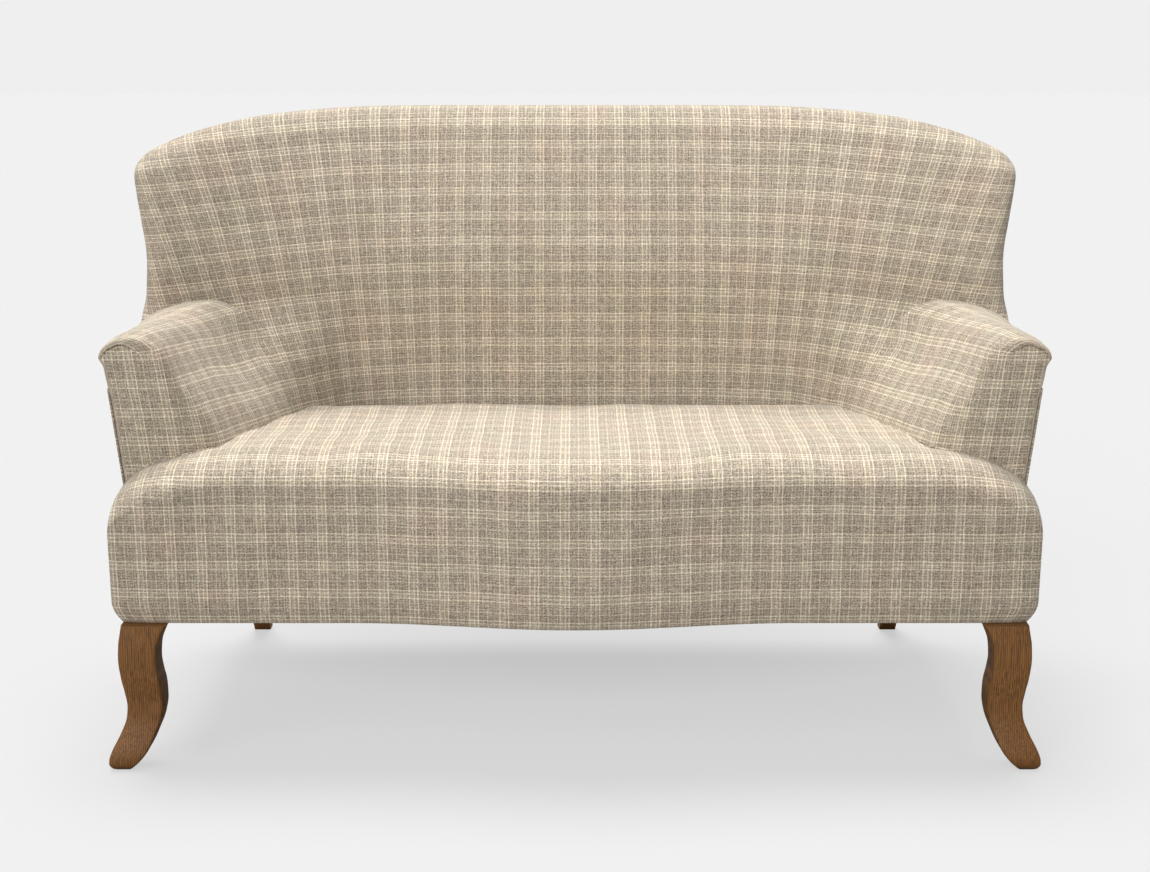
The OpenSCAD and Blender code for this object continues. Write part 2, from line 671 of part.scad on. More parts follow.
module corner_blocks() {
    color("#d8b98a") for (side = [-1, 1]) {
        translate([side * side_in, rail_front_y, body_bottom]) linear_extrude(block_h)
            polygon([[0, 0], [-side * block_leg, 0], [0, block_leg]]);
        translate([side * side_in, rear_face - timber_t, body_bottom]) linear_extrude(block_h)
            polygon([[0, 0], [-side * block_leg, 0], [0, -block_leg]]);
    }
}
module arm_post(left) {
    path = inset_path([for (p = arm_path(1)) [p[0], p[1]]], foam_back);
    top = path[len(path) - 1];
    color("#d8b98a") on_side(left) translate([0, post_rear_y, 0]) rotate([90, 0, 0])
        linear_extrude(timber_t) polygon(concat([[path[0][0], rail_top]], path,
            [[arm_outer_x(top[1]) - foam_back, top[1]], [side_out, rail_top]]));
}
module arm_rail(left) {
    color("#d8b98a") on_side(left) translate([arm_rail_x, post_rear_y, arm_rail_z])
        cube([timber_t, post_front_y(arm_rail_z) - post_rear_y, arm_rail_h]);
}
module arm_liner_rail(left) {
    color("#d8b98a") on_side(left) translate([liner_x, post_rear_y, liner_z])
        cube([timber_t, post_front_y(liner_z) - post_rear_y, arm_rail_h]);
}
function post_rear_face(z) = rear_y(side_out, z) - layer_gap;
function post_front_y(z) = post_rear_face(z) - back_post_d;
module back_post(left) {
    color("#d8b98a") on_side(left) translate([side_out, 0, 0]) rotate([90, 0, -90])
        linear_extrude(timber_t) polygon([
            [-post_rear_face(rail_top), rail_top], [-post_rear_face(back_post_top), back_post_top],
            [-post_front_y(back_post_top), back_post_top], [-post_front_y(rail_top), rail_top]
        ]);
}
function top_rail_z(x) = edge_z(x) - edge_r - top_rail_set;
module top_rail() {
    line = [for (k = [0:top_rail_steps]) mix(-side_out, side_out, k / top_rail_steps)];
    under = function (x)
        abs(x) > back_post_x - post_lap ? back_post_top : top_rail_z(x) - top_rail_h;
    color("#d8b98a") translate([0, top_rail_rear_y, 0]) rotate([90, 0, 0]) linear_extrude(timber_t)
        polygon(concat(
            [for (x = line) [x, top_rail_z(x)]],
            [for (x = reverse(line)) [x, under(x)]]
        ));
}
module lower_back_rail() {
    color("#d8b98a") translate([-back_post_x, lower_rail_y, lower_rail_z])
        cube([2 * back_post_x, timber_t, lower_rail_h]);
}
module back_uprights() {
    foot = lower_rail_z + lower_rail_h;
    head = top_rail_z(upright_x + upright_w) - top_rail_h;
    color("#d8b98a") for (side = [-1, 1])
        translate([side * upright_x + upright_w / 2, 0, 0]) rotate([90, 0, -90]) linear_extrude(upright_w)
            polygon([
                [-lower_rail_y - timber_t, foot], [-top_rail_rear_y, head],
                [-top_rail_front_y, head], [-lower_rail_y, foot]
            ]);
}
module wing_board(left) {
    low = arm_rail_z + arm_rail_h;
    high = back_post_top + top_rail_h / 2;
    mid = side_out + wing_board_t / 2;
    heights = [for (v = wing_board_shares) mix(low, high, v)];
    color("#c9a877") on_side(left) translate([side_out + wing_board_t, 0, 0]) rotate([90, 0, -90])
        linear_extrude(wing_board_t) polygon(concat(
            [for (z = heights) [-back_y(mid, z) - wing_board_set, z]],
            [for (z = reverse(heights)) [wing_rear_set - rear_y(mid + wing_board_t, z), z]]
        ));
}

// Springing
function bar_y(k) = mix(spring_front_y, spring_rear_y, k / (spring_bars - 1));
function spring_edge(side) = [for (k = [0:spring_bars - 1]) for (i = [0:turn_steps])
    let (
        way = k % 2 == 0 ? 1 : -1,
        r = spring_pitch_used / 2 - side * way * spring_wire / 2,
        y = bar_y(k) + spring_pitch_used / 2,
        angle = 180 * i / turn_steps
    )
    if (k < spring_bars - 1) [way * (spring_bar / 2 + r * sin(angle)), y - r * cos(angle)]];
module spring() {
    last = spring_bars - 1;
    end_x = -spring_bar / 2 * (last % 2 == 0 ? -1 : 1);
    translate([0, 0, spring_z - spring_wire / 2]) linear_extrude(spring_wire) polygon(concat(
        [[-spring_bar / 2, bar_y(0) + spring_wire / 2]], spring_edge(1),
        [[end_x, bar_y(last) + spring_wire / 2], [end_x, bar_y(last) - spring_wire / 2]],
        reverse(spring_edge(-1)),
        [[-spring_bar / 2, bar_y(0) - spring_wire / 2]]
    ));
}
module seat_springs() {
    color("#8d8f92") for (x = spring_xs) translate([x, 0, 0]) spring();
}
module clip() {
    outer = spring_wire + layer_gap + 2 * clip_t;
    hole = spring_wire + layer_gap;
    translate([0, 0, spring_z]) difference() {
        cube([clip_w, outer, outer], center = true);
        cube([2 * clip_w, hole, hole], center = true);
    }
    translate([-clip_w / 2, -clip_plate / 2, rail_top]) cube([clip_w, clip_plate, clip_t]);
}
module spring_clips() {
    color("#6f7174") for (x = spring_xs) for (y = [spring_front_y, spring_rear_y])
        translate([x, y, 0]) clip();
}
module spring_platform() {
    color("#c8b78f") translate([-platform_w / 2, rail_front_y - timber_t, platform_z])
        cube([platform_w, rear_face - rail_front_y, platform_t]);
}
module back_webbing() {
    foot = lower_rail_z + strap_foot_set;
    bend = lower_rail_z + lower_rail_h;
    color("#4a4540") for (side = [-1, 1]) for (x = strap_xs) {
        head = top_rail_z(x + strap_w) - strap_head_set;
        turn = head - top_rail_h * strap_turn_share;
        translate([side * x + strap_w / 2, 0, 0]) rotate([90, 0, -90]) linear_extrude(strap_w) polygon([
            [-lower_rail_y, foot], [-lower_rail_y, bend],
            [-top_rail_front_y, turn], [-top_rail_front_y, head],
            [strap_t - top_rail_front_y, head], [strap_t - top_rail_front_y, turn],
            [strap_t - lower_rail_y, bend], [strap_t - lower_rail_y, foot]
        ]);
    }
}

// Legs. A bent line runs smoothly through a list of points.
function bend_at(p, i, t) =
    let (n = len(p) - 1, a = p[max(0, i - 1)], b = p[i], c = p[i + 1], d = p[min(n, i + 2)])
    (2 * b + (c - a) * t + (2 * a - 5 * b + 4 * c - d) * t * t + (3 * b - a - 3 * c + d) * t * t * t) / 2;
function bent(p, steps) = concat(
    [for (i = [0:len(p) - 2]) for (k = [0:steps - 1]) bend_at(p, i, k / steps)], [p[len(p) - 1]]);
module front_leg_profile() {
    points = concat(bent(front_leg_outer_shares, bend_steps), bent(front_leg_inner_shares, bend_steps));
    polygon([for (p = points) [p[0] * leg_top_w, p[1] * leg_h]]);
}
module front_leg(left) {
    color("#8a5a34") on_side(left) difference() {
        intersection() {
            translate([front_leg_x, front_leg_y + leg_top_w / 2, 0]) rotate([90, 0, 0])
                linear_extrude(2 * leg_top_w) front_leg_profile();
            translate([front_leg_x + 3 * leg_top_w / 2, front_leg_y, 0]) rotate([90, 0, -90])
                linear_extrude(2 * leg_top_w) front_leg_profile();
        }
        translate([bolt_x, spring_front_y, leg_h - bolt_out - bolt_clear])
            cylinder(d = bolt_hole, h = 2 * bolt_out, $fn = hole_sides);
    }
}
module rear_leg(left) {
    top_y = spring_rear_y;
    path = bent(rear_leg_front_shares, bend_steps);
    edge = function (half_top, half_foot)
        [for (p = path) [mix(top_y + half_top, rear_foot_y + half_foot, p[0]), p[1] * leg_h]];
    front = edge(-rear_leg_w / 2, -rear_leg_foot_w / 2);
    rear = edge(rear_leg_w / 2, rear_leg_foot_w / 2);
    color("#7d5230") on_side(left) difference() {
        intersection() {
            translate([rear_leg_x + rear_leg_w, 0, 0]) rotate([90, 0, -90])
                linear_extrude(2 * rear_leg_w)
                polygon([for (p = concat(front, reverse(rear))) [-p[0], p[1]]]);
            translate([rear_leg_x, overall_h, 0]) rotate([90, 0, 0]) linear_extrude(2 * overall_h)
                polygon([[-rear_leg_w / 2, leg_h], [rear_leg_w / 2, leg_h],
                         [rear_leg_foot_w / 2, 0], [-rear_leg_foot_w / 2, 0]]);
        }
        translate([rear_leg_x, top_y, leg_h - bolt_out - bolt_clear])
            cylinder(d = bolt_hole, h = 2 * bolt_out, $fn = hole_sides);
    }
}
module leg_bolts() {
    color("#9a9c9f") for (side = [-1, 1]) {
        translate([side * bolt_x, spring_front_y, leg_h - bolt_out])
            cylinder(d = bolt_d, h = bolt_out + bolt_in, $fn = hole_sides);
        translate([side * rear_leg_x, spring_rear_y, leg_h - bolt_out])
            cylinder(d = bolt_d, h = bolt_out + bolt_in, $fn = hole_sides);
    }
}
module dust_cover() {
    half = front_leg_x - dust_set;
    leg_room = rear_leg_w / 2 + dust_leg_gap;
    color("#2b2a29") difference() {
        translate([-half, rail_front_y - timber_t / 2, leg_h - dust_t])
            cube([2 * half, rear_face - rail_front_y + timber_t / 4, dust_t]);
        for (side = [-1, 1])
            translate([side * rear_leg_x - leg_room, spring_rear_y - leg_room, 0])
                cube([2 * leg_room, 2 * rear_leg_w, overall_h]);
    }
}

seat_cover();
seat_foam();
apron_pad();
inside_back_cover();
back_foam();
outside_back_cover();
arm_cover(true);  // arm_cover_left
arm_cover(false);  // arm_cover_right
arm_foam(true);  // arm_foam_left
arm_foam(false);  // arm_foam_right
arm_facing(true);  // arm_facing_left
arm_facing(false);  // arm_facing_right
outside_arm_cover(true);  // outside_arm_cover_left
outside_arm_cover(false);  // outside_arm_cover_right
dust_cover();
front_rail();
rear_rail();
side_rail(true);  // side_rail_left
side_rail(false);  // side_rail_right
centre_rail();
corner_blocks();
arm_post(true);  // arm_post_left
arm_post(false);  // arm_post_right
arm_rail(true);  // arm_rail_left
arm_rail(false);  // arm_rail_right
arm_liner_rail(true);  // arm_liner_rail_left
arm_liner_rail(false);  // arm_liner_rail_right
back_post(true);  // back_post_left
back_post(false);  // back_post_right
wing_board(true);  // wing_board_left
wing_board(false);  // wing_board_right
top_rail();
lower_back_rail();
back_uprights();
seat_springs();
spring_clips();
spring_platform();
back_webbing();
front_leg(true);  // front_leg_left
front_leg(false);  // front_leg_right
rear_leg(true);  // rear_leg_left
rear_leg(false);  // rear_leg_right
leg_bolts();
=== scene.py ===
import math
import bpy
import bmesh
import numpy as np
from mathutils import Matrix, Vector


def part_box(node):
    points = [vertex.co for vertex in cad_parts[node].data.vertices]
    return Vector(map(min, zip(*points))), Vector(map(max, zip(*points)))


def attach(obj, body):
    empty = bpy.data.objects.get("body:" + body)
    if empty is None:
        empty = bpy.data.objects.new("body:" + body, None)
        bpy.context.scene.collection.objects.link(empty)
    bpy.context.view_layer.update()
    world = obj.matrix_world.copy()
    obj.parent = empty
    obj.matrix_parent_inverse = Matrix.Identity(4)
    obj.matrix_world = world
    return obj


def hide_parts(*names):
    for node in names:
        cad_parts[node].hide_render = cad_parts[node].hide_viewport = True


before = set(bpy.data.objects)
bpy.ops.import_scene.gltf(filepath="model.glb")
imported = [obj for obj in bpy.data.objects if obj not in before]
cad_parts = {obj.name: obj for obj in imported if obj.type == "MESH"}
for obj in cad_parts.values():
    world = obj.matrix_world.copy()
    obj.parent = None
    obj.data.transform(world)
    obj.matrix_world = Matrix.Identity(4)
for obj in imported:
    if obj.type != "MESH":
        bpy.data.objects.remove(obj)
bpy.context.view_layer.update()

link = bpy.context.scene.collection.objects.link

# Camera, worked out from the photo: in front of the settee, looking 11 degrees down
camera_data = bpy.data.cameras.new("camera")
camera = bpy.data.objects.new("camera", camera_data)
link(camera)
camera.location = (0, -3.6058, 1.1591)
camera.rotation_euler = (math.radians(79), 0, 0)
camera_data.sensor_width = 36
camera_data.lens = 67.3
bpy.context.scene.camera = camera

# The settee's own sizes, in mm, as in the CAD
SEAT_H = 500
BODY_BOTTOM = 231
SEAT_HALF = 723
FRONT_REACH = 430
BOW = 41
BOW_HALF_W = 350
EAR_DROP = 42
OVERALL_H = 1004
BACK_HALF = 757
BACK_TALL = OVERALL_H - SEAT_H
BACK_FACE_Y = 163
BACK_LEAN = 112
WING_FORWARD = 150
EDGE_R = 44
TUCK_R = 14
TUCK_DEPTH = 30
REAR_REACH = 430
REAR_BOTTOM_Y = 362
REAR_CURVE = 20
REAR_INSET = 4
ARM_H = 670
ARM_OUT = 745
ARM_FRONT_Y = 290
ARM_ROLL_H = 54
ARM_ROLL_W = 104
ARM_ROLL_Z = ARM_H - ARM_ROLL_H
ARM_LOW_Z = 480
ARM_TUCK_Z = 372
ROLL_FULLNESS = 0.84
COVER_T = 3
# The arm's front corner is softer than in the CAD, and its roll ends lower on the outside
ARM_CORNER_R = 54
ARM_LIP_Z = ARM_ROLL_Z + 20

# The plaid: its repeat across the cloth in mm, its repeat along it as a share of that, and its
# start in metres
PLAID = 46.8
PLAID_TALL_SHARE = 0.965
PLAID_START = (0.0313, 0.0089, 0)
# Size of the padding's dips and swells, in mm
PUCKER = 3.2
# Points closer than this are one, and edges shorter than this are dropped, in metres
WELD = 0.00002
SLIVER = 0.00001


def smooth(t):
    t = np.clip(t, 0, 1)
    return t * t * (3 - 2 * t)


def ramp(value, start, width):
    """0 up to the start, 1 from a width beyond it, and a smooth rise between them."""
    return smooth((value - start) / width)


def mix(a, b, t):
    return a + (b - a) * t


def curve(t, table):
    """A smooth line through a table of (position, value) pairs, with no overshoot."""
    x, y = np.array(table, float).T
    t = np.clip(t, x[0], x[-1])
    step = np.diff(x)
    slope = np.diff(y) / step
    m = np.zeros(len(x))
    inner = slope[:-1] * slope[1:] > 0
    m[1:-1][inner] = 2 * slope[:-1][inner] * slope[1:][inner] / (slope[:-1] + slope[1:])[inner]
    m[0], m[-1] = slope[0], slope[-1]
    i = np.clip(np.searchsorted(x, t, side="right") - 1, 0, len(x) - 2)
    s = (t - x[i]) / step[i]
    a, b, c = y[i], y[i + 1], step[i]
    return (a * (1 + 2 * s) * (1 - s) ** 2 + b * s * s * (3 - 2 * s)
            + c * (m[i] * s * (1 - s) ** 2 - m[i + 1] * s * s * (1 - s)))


def spline(points, t):
    """A smooth curve through the points, read at t counted in points."""
    p = np.array(points, float)
    t = np.clip(np.asarray(t, float), 0, len(p) - 1)
    i = np.clip(t.astype(int), 0, len(p) - 2)
    s = (t - i)[..., None]
    a, b, c, d = p[np.maximum(i - 1, 0)], p[i], p[i + 1], p[np.minimum(i + 2, len(p) - 1)]
    bend = (2 * a - 5 * b + 4 * c - d) * s ** 2
    return (2 * b + (c - a) * s + bend + (3 * b - a - 3 * c + d) * s ** 3) / 2


def new_piece(name, patches, material):
    """One mesh from patches of (points in mm, pattern places in mm), welded where they meet."""
    verts, faces, pattern = [], [], []
    for points, place in patches:
        n, m = points.shape[:2]
        first = sum(len(v) for v in verts)
        verts.append(points.reshape(-1, 3) / 1000)
        ids = first + np.arange(n * m).reshape(n, m)
        quads = np.stack([ids[:-1, :-1], ids[:-1, 1:], ids[1:, 1:], ids[1:, :-1]], -1).reshape(-1, 4)
        faces.append(quads)
        pattern.append(place.reshape(-1, 2))
    verts, faces, pattern = [np.concatenate(part) for part in (verts, faces, pattern)]
    mesh = bpy.data.meshes.new(name)
    mesh.from_pydata(verts.tolist(), [], faces.tolist())
    layer = mesh.uv_layers.new(name="pattern")
    layer.data.foreach_set("uv", (pattern[faces.reshape(-1)] / 1000).reshape(-1))
    work = bmesh.new()
    work.from_mesh(mesh)
    bmesh.ops.remove_doubles(work, verts=work.verts, dist=WELD)
    bmesh.ops.dissolve_degenerate(work, edges=work.edges, dist=SLIVER)
    bmesh.ops.recalc_face_normals(work, faces=work.faces)
    for face in work.faces:
        face.smooth = True
    work.to_mesh(mesh)
    work.free()
    piece = bpy.data.objects.new(name, mesh)
    link(piece)
    mesh.materials.append(material)
    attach(piece, "root")
    return piece


def both_sides(patches):
    """The patches for each side. Those for the left are mirrored, and their plaid too."""
    left = [(points * [-1, 1, 1], place * [-1, 1]) for points, place in patches]
    return ("left", left), ("right", patches)


# Materials
def linear(code):
    """An sRGB hex colour as the linear colour that a shader takes."""
    parts = [int(code[k:k + 2], 16) / 255 for k in (1, 3, 5)]
    return tuple(v / 12.92 if v <= 0.04045 else ((v + 0.055) / 1.055) ** 2.4 for v in parts) + (1,)


def fresh_tree(owner):
    owner.use_nodes = True
    owner.node_tree.nodes.clear()
    return owner.node_tree


def new_material(name, **shader):
    material = bpy.data.materials.new(name)
    tree = fresh_tree(material)
    surface = add(tree, "ShaderNodeBsdfPrincipled", **shader)
    add(tree, "ShaderNodeOutputMaterial", Surface=surface)
    return material, tree, surface


PLUS = {"operation": "ADD"}
TIMES = {"operation": "MULTIPLY"}
TIMES_PLUS = {"operation": "MULTIPLY_ADD"}
COLOURS = {"data_type": "RGBA"}
TINTED = {"data_type": "RGBA", "blend_type": "MULTIPLY"}


def add(tree, kind, settings=(), stops=(), **inputs):
    """Adds a node. Inputs are values, or what to link from: an output, or a node for its first
    output. Stops are the places on a ramp, each with its colour or grey level."""
    item = tree.nodes.new(kind)
    for key, value in dict(settings).items():
        setattr(item, key, value)
    for count, (place, value) in enumerate(stops):
        elements = item.color_ramp.elements
        element = elements[count] if count < 2 else elements.new(place)
        element.position = place
        element.color = linear(value) if isinstance(value, str) else (value, value, value, 1)
    for key, value in inputs.items():
        key = int(key[1:]) if key[0] == "_" else key.replace("_", " ")
        if isinstance(value, bpy.types.Node):
            value = value.outputs[0]
        if isinstance(value, bpy.types.NodeSocket):
            tree.links.new(value, item.inputs[key])
        else:
            item.inputs[key].default_value = value
    return item


def dress(tree, surface, colour, height, strength, depth):
    """Gives the surface its colour and a relief, whose depth is in metres."""
    bump = add(tree, "ShaderNodeBump", Strength=strength, Distance=depth, Height=height)
    tree.links.new(colour, surface.inputs["Base Color"])
    tree.links.new(bump.outputs[0], surface.inputs["Normal"])


def weave(tree, place, pitch):
    """Crossing yarns, as a value from -1 to 1. The pitch is in metres."""
    turns = add(tree, "ShaderNodeVectorMath", {"operation": "SCALE"}, _0=place,
                Scale=math.tau / pitch)
    waves = add(tree, "ShaderNodeVectorMath", {"operation": "SINE"}, _0=turns)
    wave = add(tree, "ShaderNodeSeparateXYZ", _0=waves)
    return add(tree, "ShaderNodeMath", TIMES, _0=wave, _1=wave.outputs[1])


# Share of a plaid repeat where each group of cream yarns lies, how wide it is and how light
THREADS = [(0.03, 0.026, 0.4), (0.12, 0.022, 0.34), (0.215, 0.042, 0.86), (0.3, 0.02, 0.32),
           (0.375, 0.036, 0.74), (0.5, 0.033, 1.0), (0.66, 0.022, 0.32), (0.81, 0.03, 0.66),
           (0.92, 0.022, 0.34)]
# The ground between the groups has a few cream yarns, and more of them in one band
GROUND_LIGHT = 0.04
BAND_LIGHT = 0.1
BAND_START, BAND_END = 0.2, 0.49
REPEAT_END_LIGHT = 0.02
TAUPE_STOPS = [(0.37, "#514840"), (0.5, "#83796b"), (0.63, "#b9af9f")]
CREAM = "#f7ebd1"
CROSSED_CREAM = "#fff3da"
DYE_LOT_STOPS = [(0.3, "#f5f4ef"), (0.5, "#faf7f4"), (0.7, "#fdf5f2")]
# Pitch of the weave in metres, and slubs to a metre across and along a yarn
WEAVE_PITCH = 0.0023
SLUBS_ACROSS, SLUBS_ALONG = 520, 55


def thread_stops():
    """The cream yarns' share of the cloth over one repeat of the plaid, as stops of a ramp."""
    stops = []
    for place, width, light in THREADS:
        for edge, level in ((place - width, None), (place, light), (place + width, None)):
            ground = BAND_LIGHT if BAND_START < edge < BAND_END else GROUND_LIGHT
            stops.append((edge, ground if level is None else level))
    return stops + [(1, REPEAT_END_LIGHT)]


def plaid_material(name):
    # Woven wool mix plaid: heathered taupe yarns with groups of cream yarns in both
    # directions. Yarn-dyed slubs give it a dry, broken surface with a soft sheen.
    material, tree, surface = new_material(name, Roughness=0.88, Sheen_Weight=0.12, Sheen_Roughness=0.45)
    place = add(tree, "ShaderNodeUVMap", {"uv_map": "pattern"})
    # The yarns wander by about 0.5 mm over the length of a hand
    wander = add(tree, "ShaderNodeTexNoise", Vector=place, Scale=14.0, Detail=2.0)
    shift = add(tree, "ShaderNodeVectorMath", TIMES_PLUS, _0=wander.outputs["Color"],
                _1=(0.0022, 0.0022, 0), _2=PLAID_START)
    moved = add(tree, "ShaderNodeVectorMath", PLUS, _0=place, _1=shift)
    turns = add(tree, "ShaderNodeVectorMath", TIMES, _0=moved,
                _1=(1000 / PLAID, 1000 / (PLAID * PLAID_TALL_SHARE), 0))
    share = add(tree, "ShaderNodeVectorMath", {"operation": "FRACTION"}, _0=turns)
    shares = add(tree, "ShaderNodeSeparateXYZ", _0=share)
    # The weave is drawn coarser than the real cloth, so that it shows
    crossings = weave(tree, moved, WEAVE_PITCH)
    over = add(tree, "ShaderNodeMath", TIMES_PLUS, _0=crossings, _1=0.42, _2=0.5)
    # Short fibres of other shades are spun into every yarn
    flecks = add(tree, "ShaderNodeTexNoise", Vector=place, Scale=430.0, Detail=2.0)
    yarns, lights, slubs = [], [], []
    for axis, stretch in enumerate(((SLUBS_ACROSS, SLUBS_ALONG, 1), (SLUBS_ALONG, SLUBS_ACROSS, 1))):
        light = add(tree, "ShaderNodeValToRGB", stops=thread_stops(), _0=shares.outputs[axis])
        # Slubs: each yarn thickens and thins along its length
        along = add(tree, "ShaderNodeVectorMath", TIMES, _0=place, _1=stretch)
        slub = add(tree, "ShaderNodeTexNoise", Vector=along, Scale=1.0, Detail=2.0, Roughness=0.6)
        both = add(tree, "ShaderNodeMath", PLUS, _0=slub, _1=flecks)
        loud = add(tree, "ShaderNodeMapRange", Value=both, From_Min=0.6, From_Max=1.4,
                   To_Min=0.3, To_Max=1.5)
        amount = add(tree, "ShaderNodeMath", TIMES, _0=light, _1=loud)
        half = add(tree, "ShaderNodeMath", TIMES, _0=both, _1=0.5)
        dark = add(tree, "ShaderNodeValToRGB", stops=TAUPE_STOPS, _0=half)
        yarn = add(tree, "ShaderNodeMix", COLOURS, _0=amount, _6=dark, _7=linear(CREAM))
        yarns.append(yarn.outputs[2])
        lights.append(light)
        slubs.append(slub)
    cloth = add(tree, "ShaderNodeMix", COLOURS, _0=over, _6=yarns[0], _7=yarns[1])
    # Where both groups cross, the cream yarns lie on cream yarns and read brighter
    cross = add(tree, "ShaderNodeMath", TIMES, _0=lights[0], _1=lights[1])
    shown = add(tree, "ShaderNodeMath", TIMES, _0=cross, _1=0.5)
    bright = add(tree, "ShaderNodeMix", COLOURS, _0=shown, _6=cloth.outputs[2],
                 _7=linear(CROSSED_CREAM))
    # Dye lots differ a little over about 80 mm
    lots = add(tree, "ShaderNodeTexNoise", Vector=place, Scale=11.0, Detail=1.0)
    tint = add(tree, "ShaderNodeValToRGB", stops=DYE_LOT_STOPS, _0=lots)
    final = add(tree, "ShaderNodeMix", TINTED, _0=1.0, _6=bright.outputs[2], _7=tint)
    thick = add(tree, "ShaderNodeMath", PLUS, _0=slubs[0], _1=slubs[1])
    relief = add(tree, "ShaderNodeMath", TIMES_PLUS, _0=over, _1=0.6, _2=thick)
    dress(tree, surface, final.outputs[2], relief, 0.35, 0.0006)
    return material


# Grain marks along a piece, where there are 1000 across it
GRAIN_ALONG = 18


def timber_material(name, light, mid, dark, rough, grain_mm, bump_mm):
    # Straight-grained wood: long darker growth lines and short pores along the piece
    material, tree, surface = new_material(name, Roughness=rough, IOR=1.48, Specular_IOR_Level=0.3)
    place = add(tree, "ShaderNodeTexCoord").outputs["Object"]
    along = add(tree, "ShaderNodeMapping", Vector=place,
                Scale=(1000 / grain_mm, 1000 / grain_mm, GRAIN_ALONG / grain_mm))
    grain = add(tree, "ShaderNodeTexNoise", Vector=along, Scale=1.0, Detail=4.0, Roughness=0.55,
                Distortion=0.15)
    pores = add(tree, "ShaderNodeTexNoise", Vector=along, Scale=5.0, Detail=2.0)
    rings = add(tree, "ShaderNodeTexWave", {"bands_direction": "X"}, Vector=along, Scale=0.14,
                Distortion=2.5, Detail=2.0)
    lines = add(tree, "ShaderNodeMath", TIMES_PLUS, _0=rings.outputs["Fac"], _1=0.2, _2=grain)
    tone = add(tree, "ShaderNodeValToRGB", stops=[(0.4, dark), (0.6, mid), (0.78, light)], _0=lines)
    pore = add(tree, "ShaderNodeValToRGB", stops=[(0.36, 0.55), (0.46, 1.0)], _0=pores)
    final = add(tree, "ShaderNodeMix", TINTED, _0=0.6, _6=tone, _7=pore)
    dress(tree, surface, final.outputs[2], grain, 0.25, bump_mm / 1000)
    return material


def plain_weave_material(name, light, dark, pitch_mm, rough):
    # Plain weave cloth: two sets of yarns that pass over and under each other
    material, tree, surface = new_material(name, Roughness=rough)
    place = add(tree, "ShaderNodeTexCoord").outputs["Object"]
    crossings = weave(tree, place, pitch_mm / 1000)
    hairs = add(tree, "ShaderNodeTexNoise", Vector=place, Scale=260.0, Detail=4.0)
    amount = add(tree, "ShaderNodeMath", TIMES_PLUS, _0=crossings, _1=0.3, _2=hairs)
    tone = add(tree, "ShaderNodeValToRGB", stops=[(0.2, dark), (0.8, light)], _0=amount)
    dress(tree, surface, tone.outputs[0], amount, 0.4, 0.0005)
    return material


def metal_material(name, light, dark, rough):
    # Drawn steel: bright, with fine streaks and a little tarnish
    material, tree, surface = new_material(name, Metallic=1.0, Roughness=rough)
    place = add(tree, "ShaderNodeTexCoord").outputs["Object"]
    noise = add(tree, "ShaderNodeTexNoise", Vector=place, Scale=180.0, Detail=4.0)
    tone = add(tree, "ShaderNodeValToRGB", stops=[(0.3, dark), (0.7, light)], _0=noise)
    tree.links.new(tone.outputs[0], surface.inputs["Base Color"])
    wear = add(tree, "ShaderNodeMapRange", Value=noise, To_Min=rough - 0.08, To_Max=rough + 0.1)
    tree.links.new(wear.outputs[0], surface.inputs["Roughness"])
    return material


plaid = plaid_material("woven_plaid")
leg_wood = timber_material("stained_beech", "#86592b", "#6f4a23", "#4e3216", 0.55, 1.5, 0.1)
frame_wood = timber_material("sawn_pine", "#e0c294", "#cfae7d", "#a88455", 0.75, 4.5, 0.3)
hessian = plain_weave_material("jute_hessian", "#c9b187", "#8a7148", 2.2, 0.95)
strap_web = plain_weave_material("elastic_webbing", "#5c544c", "#2c2824", 1.6, 0.8)
lining = plain_weave_material("bottoming_cloth", "#3b3937", "#1d1c1b", 1.4, 0.9)
steel = metal_material("drawn_spring_steel", "#b9bbbe", "#77797c", 0.38)
zinc = metal_material("zinc_plated_steel", "#c6c8cc", "#8f9297", 0.32)

# Lines of the back and the arms, as shares of the back's half width and height. Its profile's
# are shares of its height and lean.
BACK_PROFILE = [(-1, 0), (0, 0), (0.2, -0.03), (0.32, -0.08), (0.42, -0.1), (0.5, -0.05),
                (0.6, 0.1), (0.7, 0.28), (0.8, 0.5), (0.9, 0.75), (1, 1), (1.1, 1.25)]
BACK_TUCK = [(0.576, -0.311), (0.576, 0), (0.617, 0.12), (0.678, 0.205), (0.753, 0.272),
             (0.815, 0.308), (0.865, 0.276), (0.94, 0.245)]
BACK_EDGE = [(0.972, 0.276), (0.976, 0.32), (0.969, 0.4), (0.968, 0.52), (0.981, 0.631),
             (0.994, 0.728), (1, 0.786), (0.9935, 0.825), (0.97, 0.862), (0.905, 0.908),
             (0.81, 0.95), (0.684, 0.979), (0.52, 0.996), (0.344, 1), (0.172, 1), (0, 1)]
ARM_SEAM = [(-0.4, 0.576), (0, 0.576), (0.12, 0.617), (0.205, 0.678), (0.272, 0.753),
            (0.326, 0.815), (0.36, 0.86), (0.4, 0.88)]
SEAM_GAP = 0.6
# The face curves forward into the wings from this share of the half width
WING_START, WING_WIDE, WING_POWER = 0.26, 0.74, 2.1
# Low down it also turns forward to the arms, rounded by taking the mean of a few turns
CORNER_FORWARD = 82
CORNER_START, CORNER_WIDE = 0.39, 0.26
CORNER_TOP, CORNER_REACH = 0.39, 0.27
CORNER_STEPS = (-0.06, -0.03, 0, 0.03, 0.06)
# The frame's rear lies this far inside the sheet over it
REAR_COVER = 3.4
# Outside of the arm: its overhang at the roll, and its slope below that
ARM_OVERHANG, OVERHANG_TALL, ARM_SLOPE = 6, 14, 0.125
